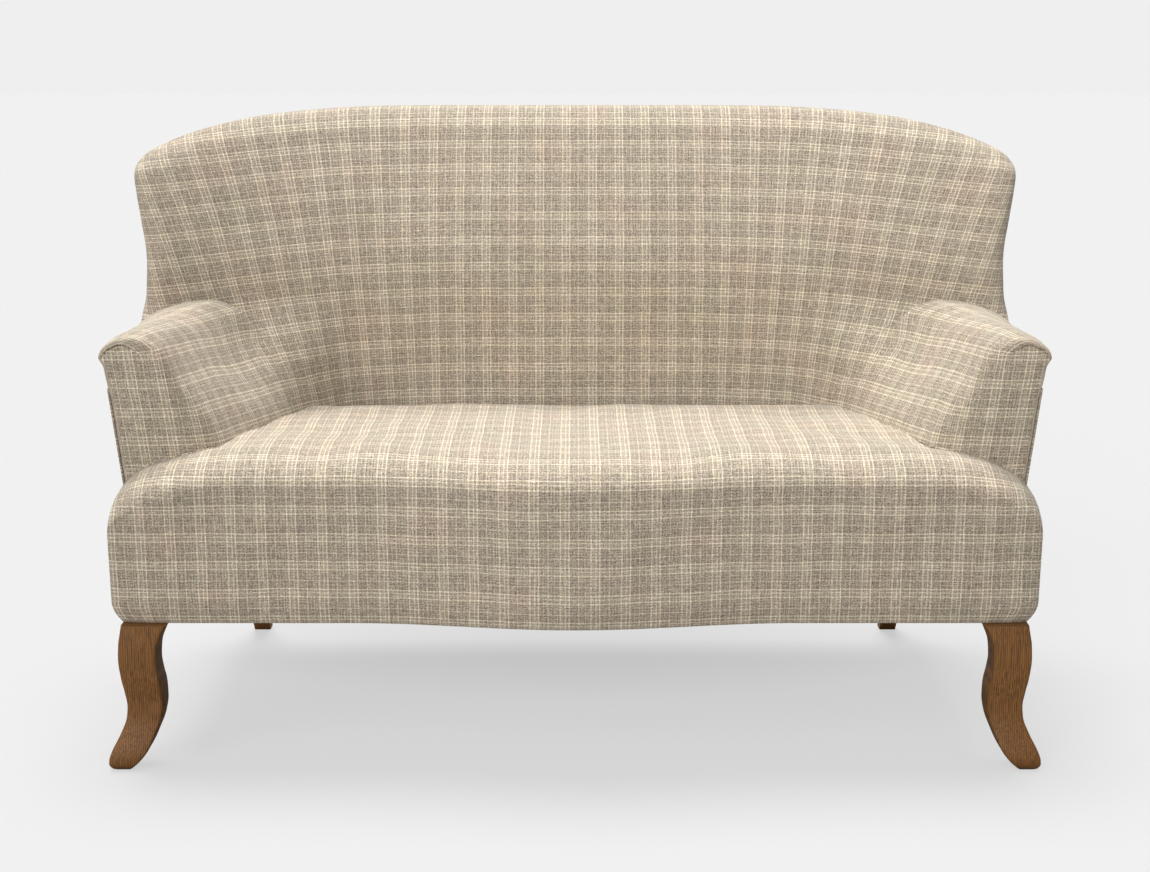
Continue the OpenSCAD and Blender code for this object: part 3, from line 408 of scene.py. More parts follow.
# Inside of the arm: its slope, its corner's radius at the top as a share, and the powers of
# its curve from the back to the front, low down and high up
ARM_INNER_SLOPE = 0.62
ARM_HIGH_CORNER = 0.28
ARM_LOW_POWER, ARM_HIGH_POWER = 0.82, 0.42
ARM_PAST_BACK = 0.3


def back_y(x, z):
    """The face of the back."""
    t = (z - SEAT_H) / BACK_TALL
    w = np.abs(x) / BACK_HALF
    lean = BACK_LEAN * curve(t, BACK_PROFILE)
    wing = WING_FORWARD * (np.maximum(0, w - WING_START) / WING_WIDE) ** WING_POWER
    low = smooth((CORNER_TOP - t) / CORNER_REACH)
    turns = [np.clip((w - CORNER_START + step) / CORNER_WIDE, 0, 1) ** 3 for step in CORNER_STEPS]
    return BACK_FACE_Y + lean - wing - CORNER_FORWARD * (sum(turns) / len(turns)) * low


def rear_y(x, z):
    """The rear of the frame, under the outside back."""
    up = (z - BODY_BOTTOM) / (OVERALL_H - BODY_BOTTOM)
    curved = REAR_CURVE * (np.abs(x) / BACK_HALF) ** 2
    return mix(REAR_BOTTOM_Y, REAR_REACH, up) - REAR_COVER - curved


def arm_outer_x(z):
    below = ARM_LIP_Z - z
    return ARM_OUT - ARM_OVERHANG * smooth(below / OVERHANG_TALL) - ARM_SLOPE * np.maximum(0, below)


def arm_front_x(z):
    """The arm's inner face at its front."""
    below = np.maximum(0, ARM_ROLL_Z - np.maximum(z, ARM_LOW_Z))
    return ARM_OUT - ARM_ROLL_W - ARM_INNER_SLOPE * below


def arm_seam_x(z):
    """Where the arm's inner face meets the back."""
    return BACK_HALF * curve((z - SEAT_H) / BACK_TALL, ARM_SEAM) + SEAM_GAP


def corner_turn(y, r):
    """How far the arm is drawn in at y by a front corner of radius r."""
    near = np.clip((r - ARM_FRONT_Y - y) / r, 0, 1)
    return r * (1 - np.sqrt(1 - near * near))


def arm_inner_x(y, z):
    """The arm's inner face, from the back to its rounded front corner."""
    sx = arm_seam_x(z)
    sy = back_y(sx, z)
    high = np.clip((z - SEAT_H) / (ARM_ROLL_Z - SEAT_H), 0, 1)
    t = (sy - y) / (sy + ARM_FRONT_Y)
    turn = corner_turn(y, ARM_CORNER_R * mix(1, ARM_HIGH_CORNER, high))
    power = mix(ARM_LOW_POWER, ARM_HIGH_POWER, high)
    body = mix(sx, arm_front_x(z), np.maximum(t, 0) ** power)
    return np.where(t <= 0, sx + (y - sy) * ARM_PAST_BACK, body) + turn


# The seat. Its face: share of the height up to the crown, then how far it is drawn in, as a
# share of the bow.
SEAT_FACE = [(0, 0.5), (0.12, 0.4), (0.24, 0.34), (0.36, 0.28), (0.6, 0.14), (0.76, 0.05)]
# The crest between face and top: its depth, its height and the angles of its points
CREST_DEEP, CREST_TALL = 96, 46
CREST_ANGLES = (6, 28, 50, 72)
# The top behind the crest, as shares of its depth, with its drops to the back and the arms
SEAT_TOP_SHARES = (0.01, 0.1, 0.3, 0.55, 0.75, 0.87, 0.95, 1.0)
CROWN_REAR_Y, CROWN_DEPTH, CROWN_DROP = 55, 105, 34
SIDE_DROP, SIDE_DROP_X, SIDE_DROP_WIDE, SIDE_DROP_SHARE = 3, 250, 200, 0.5
# The rim behind the top, and the tuck below it
RIM_BACK, RIM_DOWN = 3, 14
SEAT_TUCK_BACK, SEAT_TUCK_SHARE = 4, 0.62
SECTION_LAST = len(SEAT_FACE) + len(CREST_ANGLES) + len(SEAT_TOP_SHARES) + 1
# The section shrinks to its middle at the ends of the ears
SECTION_MIDDLE = 0.55
EAR_START, EAR_WIDE = 0.72, 0.33
SEAT_PLAIN, SEAT_ROUNDED, SEAT_END_ROUND = 0.9, 0.1, 0.24
SEAT_BULGE, EAR_MIDDLE = 2.5, 0.9
# The seat's top ends this far in front of the back, and this far inside an arm
SEAT_BEFORE_BACK, SEAT_IN_ARM = 2, 8
ARM_STEPS = 300
# The lower edge turns under, and the ears' lower corners are rounded
LOW_BAND = 36
EDGE_IN, FRONT_PART_Y = 5, -300
CORNER_IN, CORNER_X, CORNER_X_WIDE = 15, 620, 90
# The cloth is stretched by this much where it is drawn over the front of the crown
STRETCH, STRETCH_FROM, STRETCH_OVER = 16, 195, 180
SEAT_FADE = 60
# The underside's rows: height, and share of the way from the lower edge to the tuck. In the
# ears, from this half width, they lie at the lower edge.
UNDER_ROWS = ((231, 0.022), (334, 0.03), (342, 0.08), (342, 0.5), (342, 0.9))
UNDER_EAR_X, UNDER_EAR_WIDE, UNDER_EAR_UP = 610, 50, 0.5


def seat_front_y(x):
    wave = (1 + np.cos(np.pi * x / BOW_HALF_W)) / 2
    return BOW - FRONT_REACH - BOW * np.where(np.abs(x) < BOW_HALF_W, wave, 0)


def seat_rear_y(x, z):
    """Where the seat's top meets the face of the back, or tucks into an arm."""
    ax = np.abs(x)
    seam = arm_seam_x(z)
    ys = np.linspace(-ARM_FRONT_Y, back_y(seam, z), ARM_STEPS)
    xs = arm_inner_x(ys, np.full(ARM_STEPS, float(z)))
    order = np.argsort(xs)
    beside = np.interp(ax, xs[order], ys[order])
    return np.where(ax <= seam, back_y(ax, z) - SEAT_BEFORE_BACK, beside + SEAT_IN_ARM)


def arc(points):
    """Length of the line up to each of its points."""
    steps = np.linalg.norm(np.diff(points, axis=0), axis=-1)
    return np.concatenate([[0], np.cumsum(steps)])


def seat_section(x, keep, t):
    """The line across the seat: up its face, round its crest, over its crown and down behind."""
    far = abs(x) / SEAT_HALF
    tall = SEAT_H - EAR_DROP * ramp(far, EAR_START, EAR_WIDE) - BODY_BOTTOM
    top = BODY_BOTTOM + tall
    front = float(seat_front_y(x))
    rear = float(seat_rear_y(x, top))
    path = [(front + b * BOW, BODY_BOTTOM + a * tall) for a, b in SEAT_FACE]
    path += [(front + CREST_DEEP * (1 - math.cos(a)), top - CREST_TALL * (1 - math.sin(a)))
             for a in np.radians(CREST_ANGLES)]
    side_drop = SIDE_DROP * ramp(abs(x), SIDE_DROP_X, SIDE_DROP_WIDE)
    for share in SEAT_TOP_SHARES:
        y = mix(front + CREST_DEEP, rear, share)
        drop = CROWN_DROP * (max(y - CROWN_REAR_Y, 0) / CROWN_DEPTH) ** 2
        path.append((y, top - drop - side_drop * smooth(share / SIDE_DROP_SHARE)))
    path.append((rear + RIM_BACK, path[-1][1] - RIM_DOWN))
    path.append((rear + SEAT_TUCK_BACK, BODY_BOTTOM + SEAT_TUCK_SHARE * tall))
    middle = np.array([mix(front, rear, SECTION_MIDDLE), BODY_BOTTOM])
    return middle + (spline(path, t) - middle) * keep


def pillowed(grid, place, fade, way=None):
    """The points moved by up to 5 mm, square to the surface or the way given, in the dips and
    swells, about a hand wide, of hand-laid padding. They follow the cloth from piece to piece,
    and fade is 0 where they stop. Their lengths, in mm, share no factor, so none repeats."""
    a, b = place[..., 0], place[..., 1]
    swell = np.sin(a / 47 + 1.3 * np.sin(b / 71 + 0.4)) * np.sin(b / 53 + 1.1 * np.sin(a / 83 + 2.1))
    swell = swell + 0.5 * np.sin(a / 29 + b / 61 + 0.7) * np.sin(b / 37 - a / 97 + 1.9)
    if way is None:
        way = np.cross(np.gradient(grid, axis=0), np.gradient(grid, axis=1))
        way /= np.maximum(np.linalg.norm(way, axis=-1, keepdims=True), 1e-6)
    return grid + (PUCKER * swell * fade)[..., None] * way


def lowness(z):
    """1 at the lower edge, 0 from the low band's height above it."""
    return np.clip((BODY_BOTTOM + LOW_BAND - z) / LOW_BAND, 0, 1) ** 2


def in_corner(x):
    """0 over most of the seat's width and 1 at the ends of its ears, with the side's sign."""
    return np.sign(x) * ramp(np.abs(x), CORNER_X, CORNER_X_WIDE)


def seat_patches():
    # Places along a section: up the face, round the crest, then over the top
    t = np.concatenate([np.linspace(0, 5, 41), np.linspace(5, 10, 33)[1:],
                        np.linspace(10, SECTION_LAST, 91)[1:]])
    rows, places = [], []
    xs = np.linspace(-SEAT_PLAIN, SEAT_PLAIN, 151) * SEAT_HALF
    ends = [(SEAT_HALF * (SEAT_PLAIN + SEAT_ROUNDED * math.sin(a)),
             1 - SEAT_END_ROUND * (1 - math.cos(a)))
            for a in np.linspace(0, math.pi / 2, 13)[1:]]
    flat = [(SEAT_HALF + SEAT_BULGE * math.sin(math.pi * k), (1 - SEAT_END_ROUND) * (1 - k))
            for k in np.linspace(0, 1, 21)[1:]]
    for x, keep in [(-a, b) for a, b in reversed(ends)] + [(x, 1) for x in xs] + ends:
        section = seat_section(x, keep, t)
        across = np.full(len(t), x)
        rows.append(np.column_stack([across, section]))
        run = arc(section)
        run = run - STRETCH * ramp(run, STRETCH_FROM, STRETCH_OVER)
        places.append(np.column_stack([across, run]))
    grid = np.array(rows)
    place = np.array(places)
    fade = smooth(place[..., 1] / SEAT_FADE)
    fade = fade * smooth((SEAT_HALF - np.abs(grid[..., 0])) / SEAT_FADE) * smooth((t[-1] - t) / 2)
    grid = pillowed(grid, place, fade)
    low = lowness(grid[..., 2])
    grid[..., 0] -= CORNER_IN * low * in_corner(grid[..., 0])
    grid[..., 1] += EDGE_IN * low * (grid[..., 1] < FRONT_PART_Y)
    patches = [(grid, place)]
    # The flat end of each ear
    for side in (-1, 1):
        rim = grid[0] if side < 0 else grid[-1]
        front = rim[0, 1]
        rows = []
        middle_y = mix(front, rim[-1, 1], EAR_MIDDLE)
        middle = np.array([side * SEAT_HALF, middle_y, BODY_BOTTOM + UNDER_EAR_UP])
        for x, keep in [(SEAT_HALF, 1 - SEAT_END_ROUND)] + flat:
            p = middle + (rim - middle) * (keep / (1 - SEAT_END_ROUND))
            p[:, 0] = side * (x - CORNER_IN * lowness(p[:, 2]))
            rows.append(p)
        p = np.array(rows)
        place = np.stack([side * (SEAT_HALF + (p[..., 1] - front)), p[..., 2] - BODY_BOTTOM], -1)
        patches.append((p, place))
    # The underside follows the deck and the front rail, and closes the ears at their lower edge
    foot, tuck = grid[:, 0], grid[:, -1]
    ear = ramp(np.abs(foot[:, 0]), UNDER_EAR_X, UNDER_EAR_WIDE)
    under = [foot]
    for z, share in UNDER_ROWS:
        p = mix(foot, tuck, share)
        p[:, 2] = mix(z, BODY_BOTTOM + UNDER_EAR_UP, ear)
        p[:, 0] = mix(p[:, 0], foot[:, 0], ear)
        under.append(p)
    deck_end = under[-1]
    for rise in np.linspace(0, 1, 21)[1:]:
        p = mix(deck_end, tuck, rise)
        side_x = SEAT_BULGE * math.sin(math.pi * rise) - CORNER_IN * lowness(p[:, 2])
        wall = tuck[:, 0] + side_x * in_corner(tuck[:, 0])
        p[:, 0] = mix(p[:, 0], wall, ear)
        under.append(p)
    p = np.array(under)
    patches.append((p, np.stack([p[..., 0], p[..., 1] + p[..., 2]], -1)))
    return patches


seat = new_piece("seat", seat_patches(), plaid)
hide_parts("seat_cover", "seat_foam", "apron_pad")

# The back: half of its outline, from the tuck beside the seat round the arm to the middle of
# its top, then all of it
half_path = [(a * BACK_HALF, SEAT_H + b * BACK_TALL) for a, b in BACK_TUCK + BACK_EDGE]
full_path = [(-x, z) for x, z in half_path] + half_path[-2::-1]
COLUMNS = len(full_path)
TUCK_COUNT = len(BACK_TUCK)
# The edge grows to its full radius, and the plaid turns upwards behind it, over these points
EDGE_GROW_START, EDGE_GROW_POINTS = 3, 5
OVER_START, OVER_POINTS = 4.5, 5
# Length of the rounded edge past its projection, as a share of its radius
EDGE_TURN_SHARE = 0.57
OUT_PASSES = 6
# The rows end low behind the seat, at this share of the half width
BASE_SHARE = 0.45
REAR_ROWS, ROLL_ROWS, FACE_ROWS = 13, 11, 72
# The padding's swells start behind this row, over so many rows
SWELL_ROW, SWELL_ROWS = 22, 14
# A closed rear reaches this far back
REAR_FILL = np.array([0, 60, 0])
# The plaid's yarns follow the back's face, run nearly straight up its top corners, draw
# together down the wings and droop towards their edges
BACK_LEVELS = np.linspace(320, 1060, 371)
BACK_LEVEL_RUN = arc(np.column_stack([BACK_LEVELS, back_y(np.zeros(371), BACK_LEVELS)]))
LIE_STEPS = 40
TOP_SLANT, TOP_SLANT_FROM, TOP_SLANT_OVER = 0.25, 0.45, 0.5
GATHER, GATHER_Z, GATHER_SHARES = 0.36, 800, (0.25, 0.75)
WING_DROOP, WING_SHARES = 6, (0.2, 0.5)
EDGE_DROOP, EDGE_SHARES = 26, (0.5, 0.55)


def back_place(x, z):
    x, z = np.broadcast_arrays(np.asarray(x, float), np.asarray(z, float))
    far = np.abs(x)
    share = far / BACK_HALF
    up = (z - SEAT_H) / BACK_TALL
    slant = mix(1.0, TOP_SLANT, ramp(up, TOP_SLANT_FROM, TOP_SLANT_OVER))
    length = np.zeros_like(far)
    for step in range(LIE_STEPS):
        middle = far * (step + 0.5) / LIE_STEPS
        slope = (back_y(middle + 1, z) - back_y(middle - 1, z)) / 2
        length += far / LIE_STEPS * np.sqrt(1 + slant * slope ** 2)
    length += GATHER * (GATHER_Z - z) * ramp(share, *GATHER_SHARES)
    rise = np.interp(z, BACK_LEVELS, BACK_LEVEL_RUN) + WING_DROOP * ramp(share, *WING_SHARES)
    rise += EDGE_DROOP * ramp(share, *EDGE_SHARES)
    return np.stack([np.sign(x) * length, rise], -1)


def back_grid():
    """The back's cover from its rear round its edge and down its face, where the plaid lies on
    it, and where its padding swells."""
    j = np.linspace(0, COLUMNS - 1, 353)
    path = spline(full_path, j)
    tangent = np.gradient(path, axis=0)
    out = np.column_stack([-tangent[:, 1], tangent[:, 0]])
    out /= np.linalg.norm(tangent, axis=1)[:, None]
    for _ in range(OUT_PASSES):
        out[1:-1] = (out[:-2] + 2 * out[1:-1] + out[2:]) / 4
    out /= np.linalg.norm(out, axis=1)[:, None]
    from_end = np.minimum(j, COLUMNS - 1 - j)
    r = mix(TUCK_R, EDGE_R, smooth((from_end - TUCK_COUNT + EDGE_GROW_START) / EDGE_GROW_POINTS))
    tucked = smooth(TUCK_COUNT - from_end)
    # Rows, each with how far the cloth has run past the edge of the face
    rows, beyond = [], []
    edge_y = back_y(path[:, 0], path[:, 1])
    far = mix(rear_y(path[:, 0], path[:, 1]), edge_y + TUCK_DEPTH, tucked)
    near = edge_y + r
    for k in np.linspace(0, 1, REAR_ROWS)[:-1]:
        p = path - REAR_INSET * (1 - k) ** 2 * out
        y = mix(far, near, k)
        rows.append(np.column_stack([p[:, 0], y, p[:, 1]]))
        beyond.append(r * EDGE_TURN_SHARE + np.abs(y - near))
    for a in np.linspace(0, math.pi / 2, ROLL_ROWS):
        p = path - (1 - math.cos(a)) * r[:, None] * out
        y = back_y(p[:, 0], p[:, 1]) + (1 - math.sin(a)) * r
        rows.append(np.column_stack([p[:, 0], y, p[:, 1]]))
        beyond.append(r * (math.pi / 2 - a - math.cos(a)))
    base_x = np.linspace(-BASE_SHARE, BASE_SHARE, len(j)) * BACK_HALF
    base = np.column_stack([base_x, np.full(len(j), half_path[0][1])])
    edge = path - r[:, None] * out
    for s in np.linspace(0, 1, FACE_ROWS)[1:]:
        p = mix(edge, base, s)
        rows.append(np.column_stack([p[:, 0], back_y(p[:, 0], p[:, 1]), p[:, 1]]))
        beyond.append(np.zeros(len(j)))
    grid, beyond = np.array(rows), np.array(beyond)
    # Behind the edge the plaid runs straight back, to the side below and upwards over the top
    over = math.pi / 2 * ramp(from_end - TUCK_COUNT, OVER_START, OVER_POINTS)
    back_way = np.column_stack([np.sign(path[:, 0]) * np.cos(over), np.sin(over)])
    place = back_place(grid[..., 0], grid[..., 2]) + beyond[..., None] * back_way
    row = np.arange(len(grid))[:, None]
    fade = ramp(row, SWELL_ROW, SWELL_ROWS) * np.ones(len(j))
    return grid, place, fade


def back_patches():
    grid, place, fade = back_grid()
    grid = pillowed(grid, place, fade, np.array([0, -1, 0]))
    # The rear closes behind the filling
    steps = np.linspace(0, 1, 7)[:-1]
    rear = np.array([mix(grid[0], grid[-1] + REAR_FILL, s) for s in steps] + [grid[-1]])
    return [(grid, place), (rear, rear[..., ::2])]


back = new_piece("back", back_patches(), plaid)
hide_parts("inside_back_cover", "back_foam")

# The arms, drawn on the right. The facing's plaid leans with the arm's front.
FACING_LEAN, FACING_LEAN_Z, FACING_START = 0.14, 450, 8 * PLAID
# The arm's cover runs on past its seam with the back, inside it, in a soft hollow
HOLLOW_TAIL, HOLLOW_REACH, HOLLOW_TURN = 95, 60, 0.85
# Where the arm ends at its rear, low down and under the roll
ARM_REAR_Y, ARM_TOP_REAR_Y = 140, 90
# The roll's foot rises to the rear, and the inner face ends a little below it. The roll is
# squarer at the front, and swells behind its front edge.
FOOT_RISE, FOOT_RISE_Y, FOOT_RISE_WIDE, FOOT_BAND = 10, -60, 130, 14
REAR_FULLNESS = 0.98
ROLL_SWELL, ROLL_SWELL_SHARE = 5, 0.15
ROLL_START = math.radians(130)
# Radius of the roll's front edge, from its inner side to its top
INNER_EDGE_R, TOP_EDGE_R = 22, 9
# The roll's outer side draws in to the wing
DRAW_IN, DRAW_IN_Y, DRAW_IN_WIDE = 9, -130, 170
# The roll runs into the wing, but behind its outer edge is only the outside cover
ROLL_END_Y, ROLL_END_MORE, ROLL_END_X, ROLL_END_WIDE, ROLL_IN_BACK = 46, 44, 725, 40, 4
OUTER_END_Y, OUTER_X, OUTER_X_WIDE = 26, 708, 14
# Below the lip the outer side lies under the outside cover, down to this height
OUTER_LOW_Z, OUTER_SET, OUTER_SET_Z, OUTER_SET_TALL = 300, 3.6, ARM_ROLL_Z - 20, 12
ARM_ROWS_ROUND = 131
EASE_PASSES, HOLLOW_PASSES = 40, 70
# The arm's sections and rows are closer together at the front, down to these shares
FRONT_SECTIONS, FRONT_ROWS = 0.9, 0.06
FRONT_START, FRONT_WIDE = 0.6, 0.4
OUTER_TURN_SHARE, OUTER_SPACING = 0.6, 1.3
ARM_FADE = 50
# Tags along a section are below 0 on the inner face and run from 0 to 1 over the top. A change
# ends or starts at a tag, and takes so many tags.
INNER_TAGS, EDGE_TAGS, BELOW_TAGS = 1.02, 0.35, 0.3
EASE_TAG, EASE_TAGS = 0.4, 0.35
SWELL_TAG, SWELL_TAGS = 0.2, 0.3
SEAM_TAG, SEAM_TAGS, SEAM_END_TAGS = 0.12, 0.25, 0.06
# The rear edge lies this far behind the face that it ends in
REAR_SET, REAR_SET_OVER = 3, 25


def arm_section(t):
    """Points across the arm: up its inner face, over the top and down its outside, each with
    its tag."""
    y, top_y = mix(ARM_REAR_Y, -ARM_FRONT_Y, t), mix(ARM_TOP_REAR_Y, -ARM_FRONT_Y, t)
    foot = ARM_ROLL_Z + FOOT_RISE * ramp(top_y, FOOT_RISE_Y, FOOT_RISE_WIDE)
    full = mix(REAR_FULLNESS, ROLL_FULLNESS, ramp(t, FRONT_START, FRONT_WIDE))
    side = np.linspace(0, 1, 17)
    z = mix(ARM_TUCK_Z, foot - FOOT_BAND, side)
    yy = mix(y, top_y, side ** 2)
    inner = np.column_stack([arm_inner_x(yy, z), yy, z, side - INNER_TAGS])
    inner_x = float(arm_inner_x(top_y, ARM_ROLL_Z))
    angle = np.linspace(ROLL_START, 0, 21)
    tag = 1 - angle / angle[0]
    turn = corner_turn(top_y, mix(INNER_EDGE_R, TOP_EDGE_R, smooth(tag / EDGE_TAGS)))
    over = np.sign(np.cos(angle)) * np.abs(np.cos(angle)) ** full
    outer_x = ARM_OUT - DRAW_IN * ramp(top_y, DRAW_IN_Y, DRAW_IN_WIDE)
    x = (inner_x + outer_x) / 2 + (outer_x - inner_x) / 2 * over * (1 - turn / ARM_ROLL_W)
    lip = (ARM_LIP_Z - ARM_ROLL_Z) * np.maximum(np.cos(angle), 0) ** 2
    height = ARM_ROLL_H + ROLL_SWELL * smooth((1 - t) / ROLL_SWELL_SHARE) - turn - lip
    z = foot + lip + height * np.abs(np.sin(angle)) ** full
    end = ROLL_END_Y + ROLL_END_MORE * smooth((ROLL_END_X - x) / ROLL_END_WIDE)
    end = np.minimum(end, back_y(x, z) + ROLL_IN_BACK)
    end = mix(end, OUTER_END_Y, ramp(x, OUTER_X, OUTER_X_WIDE))
    roll = np.column_stack([x, mix(end, -ARM_FRONT_Y, t), z, tag])
    z = mix(roll[-1, 2], OUTER_LOW_Z, np.linspace(0, 1, 15)[1:] ** OUTER_SPACING)
    x = arm_outer_x(z) - turn[-1] * OUTER_TURN_SHARE
    x -= OUTER_SET * smooth((OUTER_SET_Z - z) / OUTER_SET_TALL)
    down = 1 + (roll[-1, 2] - z) / OUTER_LOW_Z
    outer = np.column_stack([x, np.full(len(z), roll[-1, 1]), z, down])
    points = np.concatenate([inner, roll, outer])
    length = arc(points[:, :3])
    spaced = np.linspace(0, length[-1], ARM_ROWS_ROUND)
    return spline(points, np.interp(spaced, length, np.arange(len(points))))


def arm_grid():
    """The arm's cover from its front to its rear, and where the plaid lies on it. Below the
    roll it turns through a soft hollow onto the face of the back, and ends inside it."""
    share = np.concatenate([np.linspace(1, FRONT_SECTIONS, 31),
                            np.linspace(FRONT_SECTIONS, 0, 46)[1:]])
    sections = np.array([arm_section(t) for t in share])
    grid, tag = sections[..., :3], sections[0, :, 3]
    # The inner face is eased into the roll
    weight = smooth((EASE_TAG - tag[1:-1]) / EASE_TAGS)[:, None] / 2
    for _ in range(EASE_PASSES):
        grid[:, 1:-1] += weight * ((grid[:, :-2] + grid[:, 2:]) / 2 - grid[:, 1:-1])
    part = np.concatenate([np.linspace(0, FRONT_ROWS, 25), np.linspace(FRONT_ROWS, 1, 111)[1:]])
    below = smooth(-tag / BELOW_TAGS)
    rows, seams, runs = [], [], []
    for line, low in zip(grid.transpose(1, 0, 2), below):
        run = arc(line)
        seam = np.interp(0, line[:, 1] - back_y(line[:, 0], line[:, 2]), run)
        seam = mix(seam, run[-1], ramp(line[-1, 0], OUTER_X, OUTER_X_WIDE))
        at = part * (seam + HOLLOW_TAIL * low)
        row = np.column_stack([np.interp(at, run, line[:, k]) for k in range(3)])
        past = np.maximum(at - seam, 0)
        on_back = past > 0
        row[on_back, 0] = np.interp(seam, run, line[:, 0]) - HOLLOW_TURN * past[on_back]
        row[on_back, 2] = np.interp(seam, run, line[:, 2])
        row[on_back, 1] = back_y(row[on_back, 0], row[on_back, 2])
        rows.append(row)
        seams.append(seam)
        runs.append(at)
    grid, run, seam = np.array(rows).transpose(1, 0, 2), np.array(runs).T, np.array(seams)
    place = arm_place(grid, run, seam, tag)
    soft = (below * np.exp(-((run - seam) / HOLLOW_REACH) ** 2))[1:-1, :, None] / 2
    for _ in range(HOLLOW_PASSES):
        grid[1:-1] += soft * ((grid[:-2] + grid[2:]) / 2 - grid[1:-1])
    fade = smooth(run / ARM_FADE) * smooth((SWELL_TAG - tag) / SWELL_TAGS)
    grid = pillowed(grid, place, -fade)
    grid[..., 1] += REAR_SET * smooth((run - run[-1] + REAR_SET_OVER) / REAR_SET_OVER)
    return grid, place, tag


def arm_place(grid, run, seam, tag):
    """Where the plaid lies on the arm: as on the facing at its front, as on the back at its
    seam, and over the roll along the cloth."""
    on_back = back_place(grid[..., 0], grid[..., 2])
    level = grid[..., 2] - BACK_LEVELS[0]
    x, z, seam_level = [
        np.array([np.interp(*at) for at in zip(seam, run.T, values.T)])
        for values in (grid[..., 0], grid[..., 2], level)]
    seam_place = back_place(x, z)
    crown = int(np.argmin(np.abs(tag)))
    seam_place[crown:] = seam_place[crown]
    front_u = facing_u(grid[0])
    front_u[crown:] = front_u[crown]
    away = np.clip(run / seam, 0, 1)
    u = np.where(run > seam, on_back[..., 0], mix(front_u, seam_place[:, 0], away))
    droop = seam_place[:, 1] - seam_level
    v = np.where(run > seam, on_back[..., 1], level + droop * smooth(away))
    across = np.array([arc(line) for line in grid])
    v[:, crown:] = v[:, crown:crown + 1] + across[:, crown:] - across[:, crown:crown + 1]
    return np.stack([u, v], -1)


def facing_u(p):
    return p[..., 0] - FACING_LEAN * (p[..., 2] - FACING_LEAN_Z) + FACING_START


# Rows of the facing, as shares of the way from the roll's seam to its middle, and the groove
# that the seam makes near its edge
FACING_ROWS = (0, 0.02, 0.04, 0.055, 0.07, 0.09, 0.12, 0.17, 0.24, 0.34, 0.46, 0.6, 0.75, 0.88, 1)
GROOVE_AT, GROOVE_WIDE, GROOVE_DEEP = 0.055, 0.02, 3.6
FACING_SWELL, FACING_SWELL_Z, FACING_SWELL_TALL = 2.5, 380, 80
FACING_SWELL_ROWS = (0.05, 0.5)
SPINE_OUT, SPINE_UP = 8, 6


def arm_patches():
    grid, place, tag = arm_grid()
    front = grid[0]
    # The facing closes the front, seamed to the roll along its edge
    spine_x = (arm_front_x(front[:, 2]) + arm_outer_x(front[:, 2])) / 2 + SPINE_OUT
    spine = np.column_stack([spine_x, front[:, 1], np.minimum(front[:, 2], ARM_ROLL_Z + SPINE_UP)])
    seam = ramp(tag, SEAM_TAG, SEAM_TAGS) * smooth((1.0 - tag) / SEAM_END_TAGS)
    facing = []
    for w in FACING_ROWS:
        p = mix(front, spine, w)
        groove = GROOVE_DEEP * math.exp(-((w - GROOVE_AT) / GROOVE_WIDE) ** 2)
        swell = FACING_SWELL * ramp(w, *FACING_SWELL_ROWS)
        p[:, 1] += seam * groove - swell * ramp(p[:, 2], FACING_SWELL_Z, FACING_SWELL_TALL)
        facing.append(p)
    p = np.array(facing)
    face_place = np.stack([facing_u(p), p[..., 2] - BACK_LEVELS[0]], -1)
    # The rear, the underside and the foot of the facing are closed
    middle = grid[-1].mean(axis=0) + REAR_FILL
    cap, bottom, front_low = [
        np.array([mix(start, end, w) for w in (0, 0.5, 1)])
        for start, end in ((grid[-1], middle), (grid[:, 0], grid[:, -1]), (p[:, 0], p[:, -1]))]
    return [(grid, place), (p, face_place), (cap, cap[..., 1:]), (bottom, bottom[..., :2]),
            (front_low, front_low[..., :2])]


for side, patches in both_sides(arm_patches()):
    arm = new_piece("arm_" + side, patches, plaid)
    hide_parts("arm_cover_" + side, "arm_foam_" + side, "arm_facing_" + side)

# Outside covers: thin sheets over the rear and the sides
OUTSIDE_SIDE_SHARE, OUTSIDE_LOW_SHARE = 0.786, 0.32
OUTSIDE_SET, OUTSIDE_BACK_T = 5, 2.6
# Behind the arm the outside back follows the arm's outer face, which stands straight from this
# height, and above it widens to the back's edge
STRAIGHT_Z, WIDEN_Z, WIDEN_TALL, BESIDE_GAP = 606, 560, 100, 0.5
REAR_GAP, REAR_SWELL = 0.4, 1.2
SIDE_POINTS = 7
# The outside arm runs from the facing to the rear corner, and is taller behind the arm's roll
ARM_SHEET_FRONT_Y, ARM_SHEET_REAR_Y = -286.6, 336
STEP_FRONT_Y, STEP_REAR_Y = 10, 12
LOW_TOP_Z, HIGH_TOP_Z = 589, 658
REAR_TURN_Y, REAR_LAP = 250, 1


def edge_x(z):
    """The back's outline up its side."""
    side = [(b, a) for a, b in BACK_EDGE[:SIDE_POINTS]]
    return BACK_HALF * curve((z - SEAT_H) / BACK_TALL, side)


def edge_z(x):
    """The back's outline over its top."""
    return SEAT_H + BACK_TALL * curve(np.abs(x) / BACK_HALF, BACK_EDGE[:SIDE_POINTS - 1:-1])


def sheet_patches(grid, push, place):
    """A closed sheet: its face, its other face moved by push, and its four edges."""
    edges = ((grid[0], place[0]), (grid[-1], place[-1]), (grid[:, 0], place[:, 0]),
             (grid[:, -1], place[:, -1]))
    return [(grid, place), (grid + push, place)] + [
        (np.array([row, row + push]), np.array([where, where])) for row, where in edges]


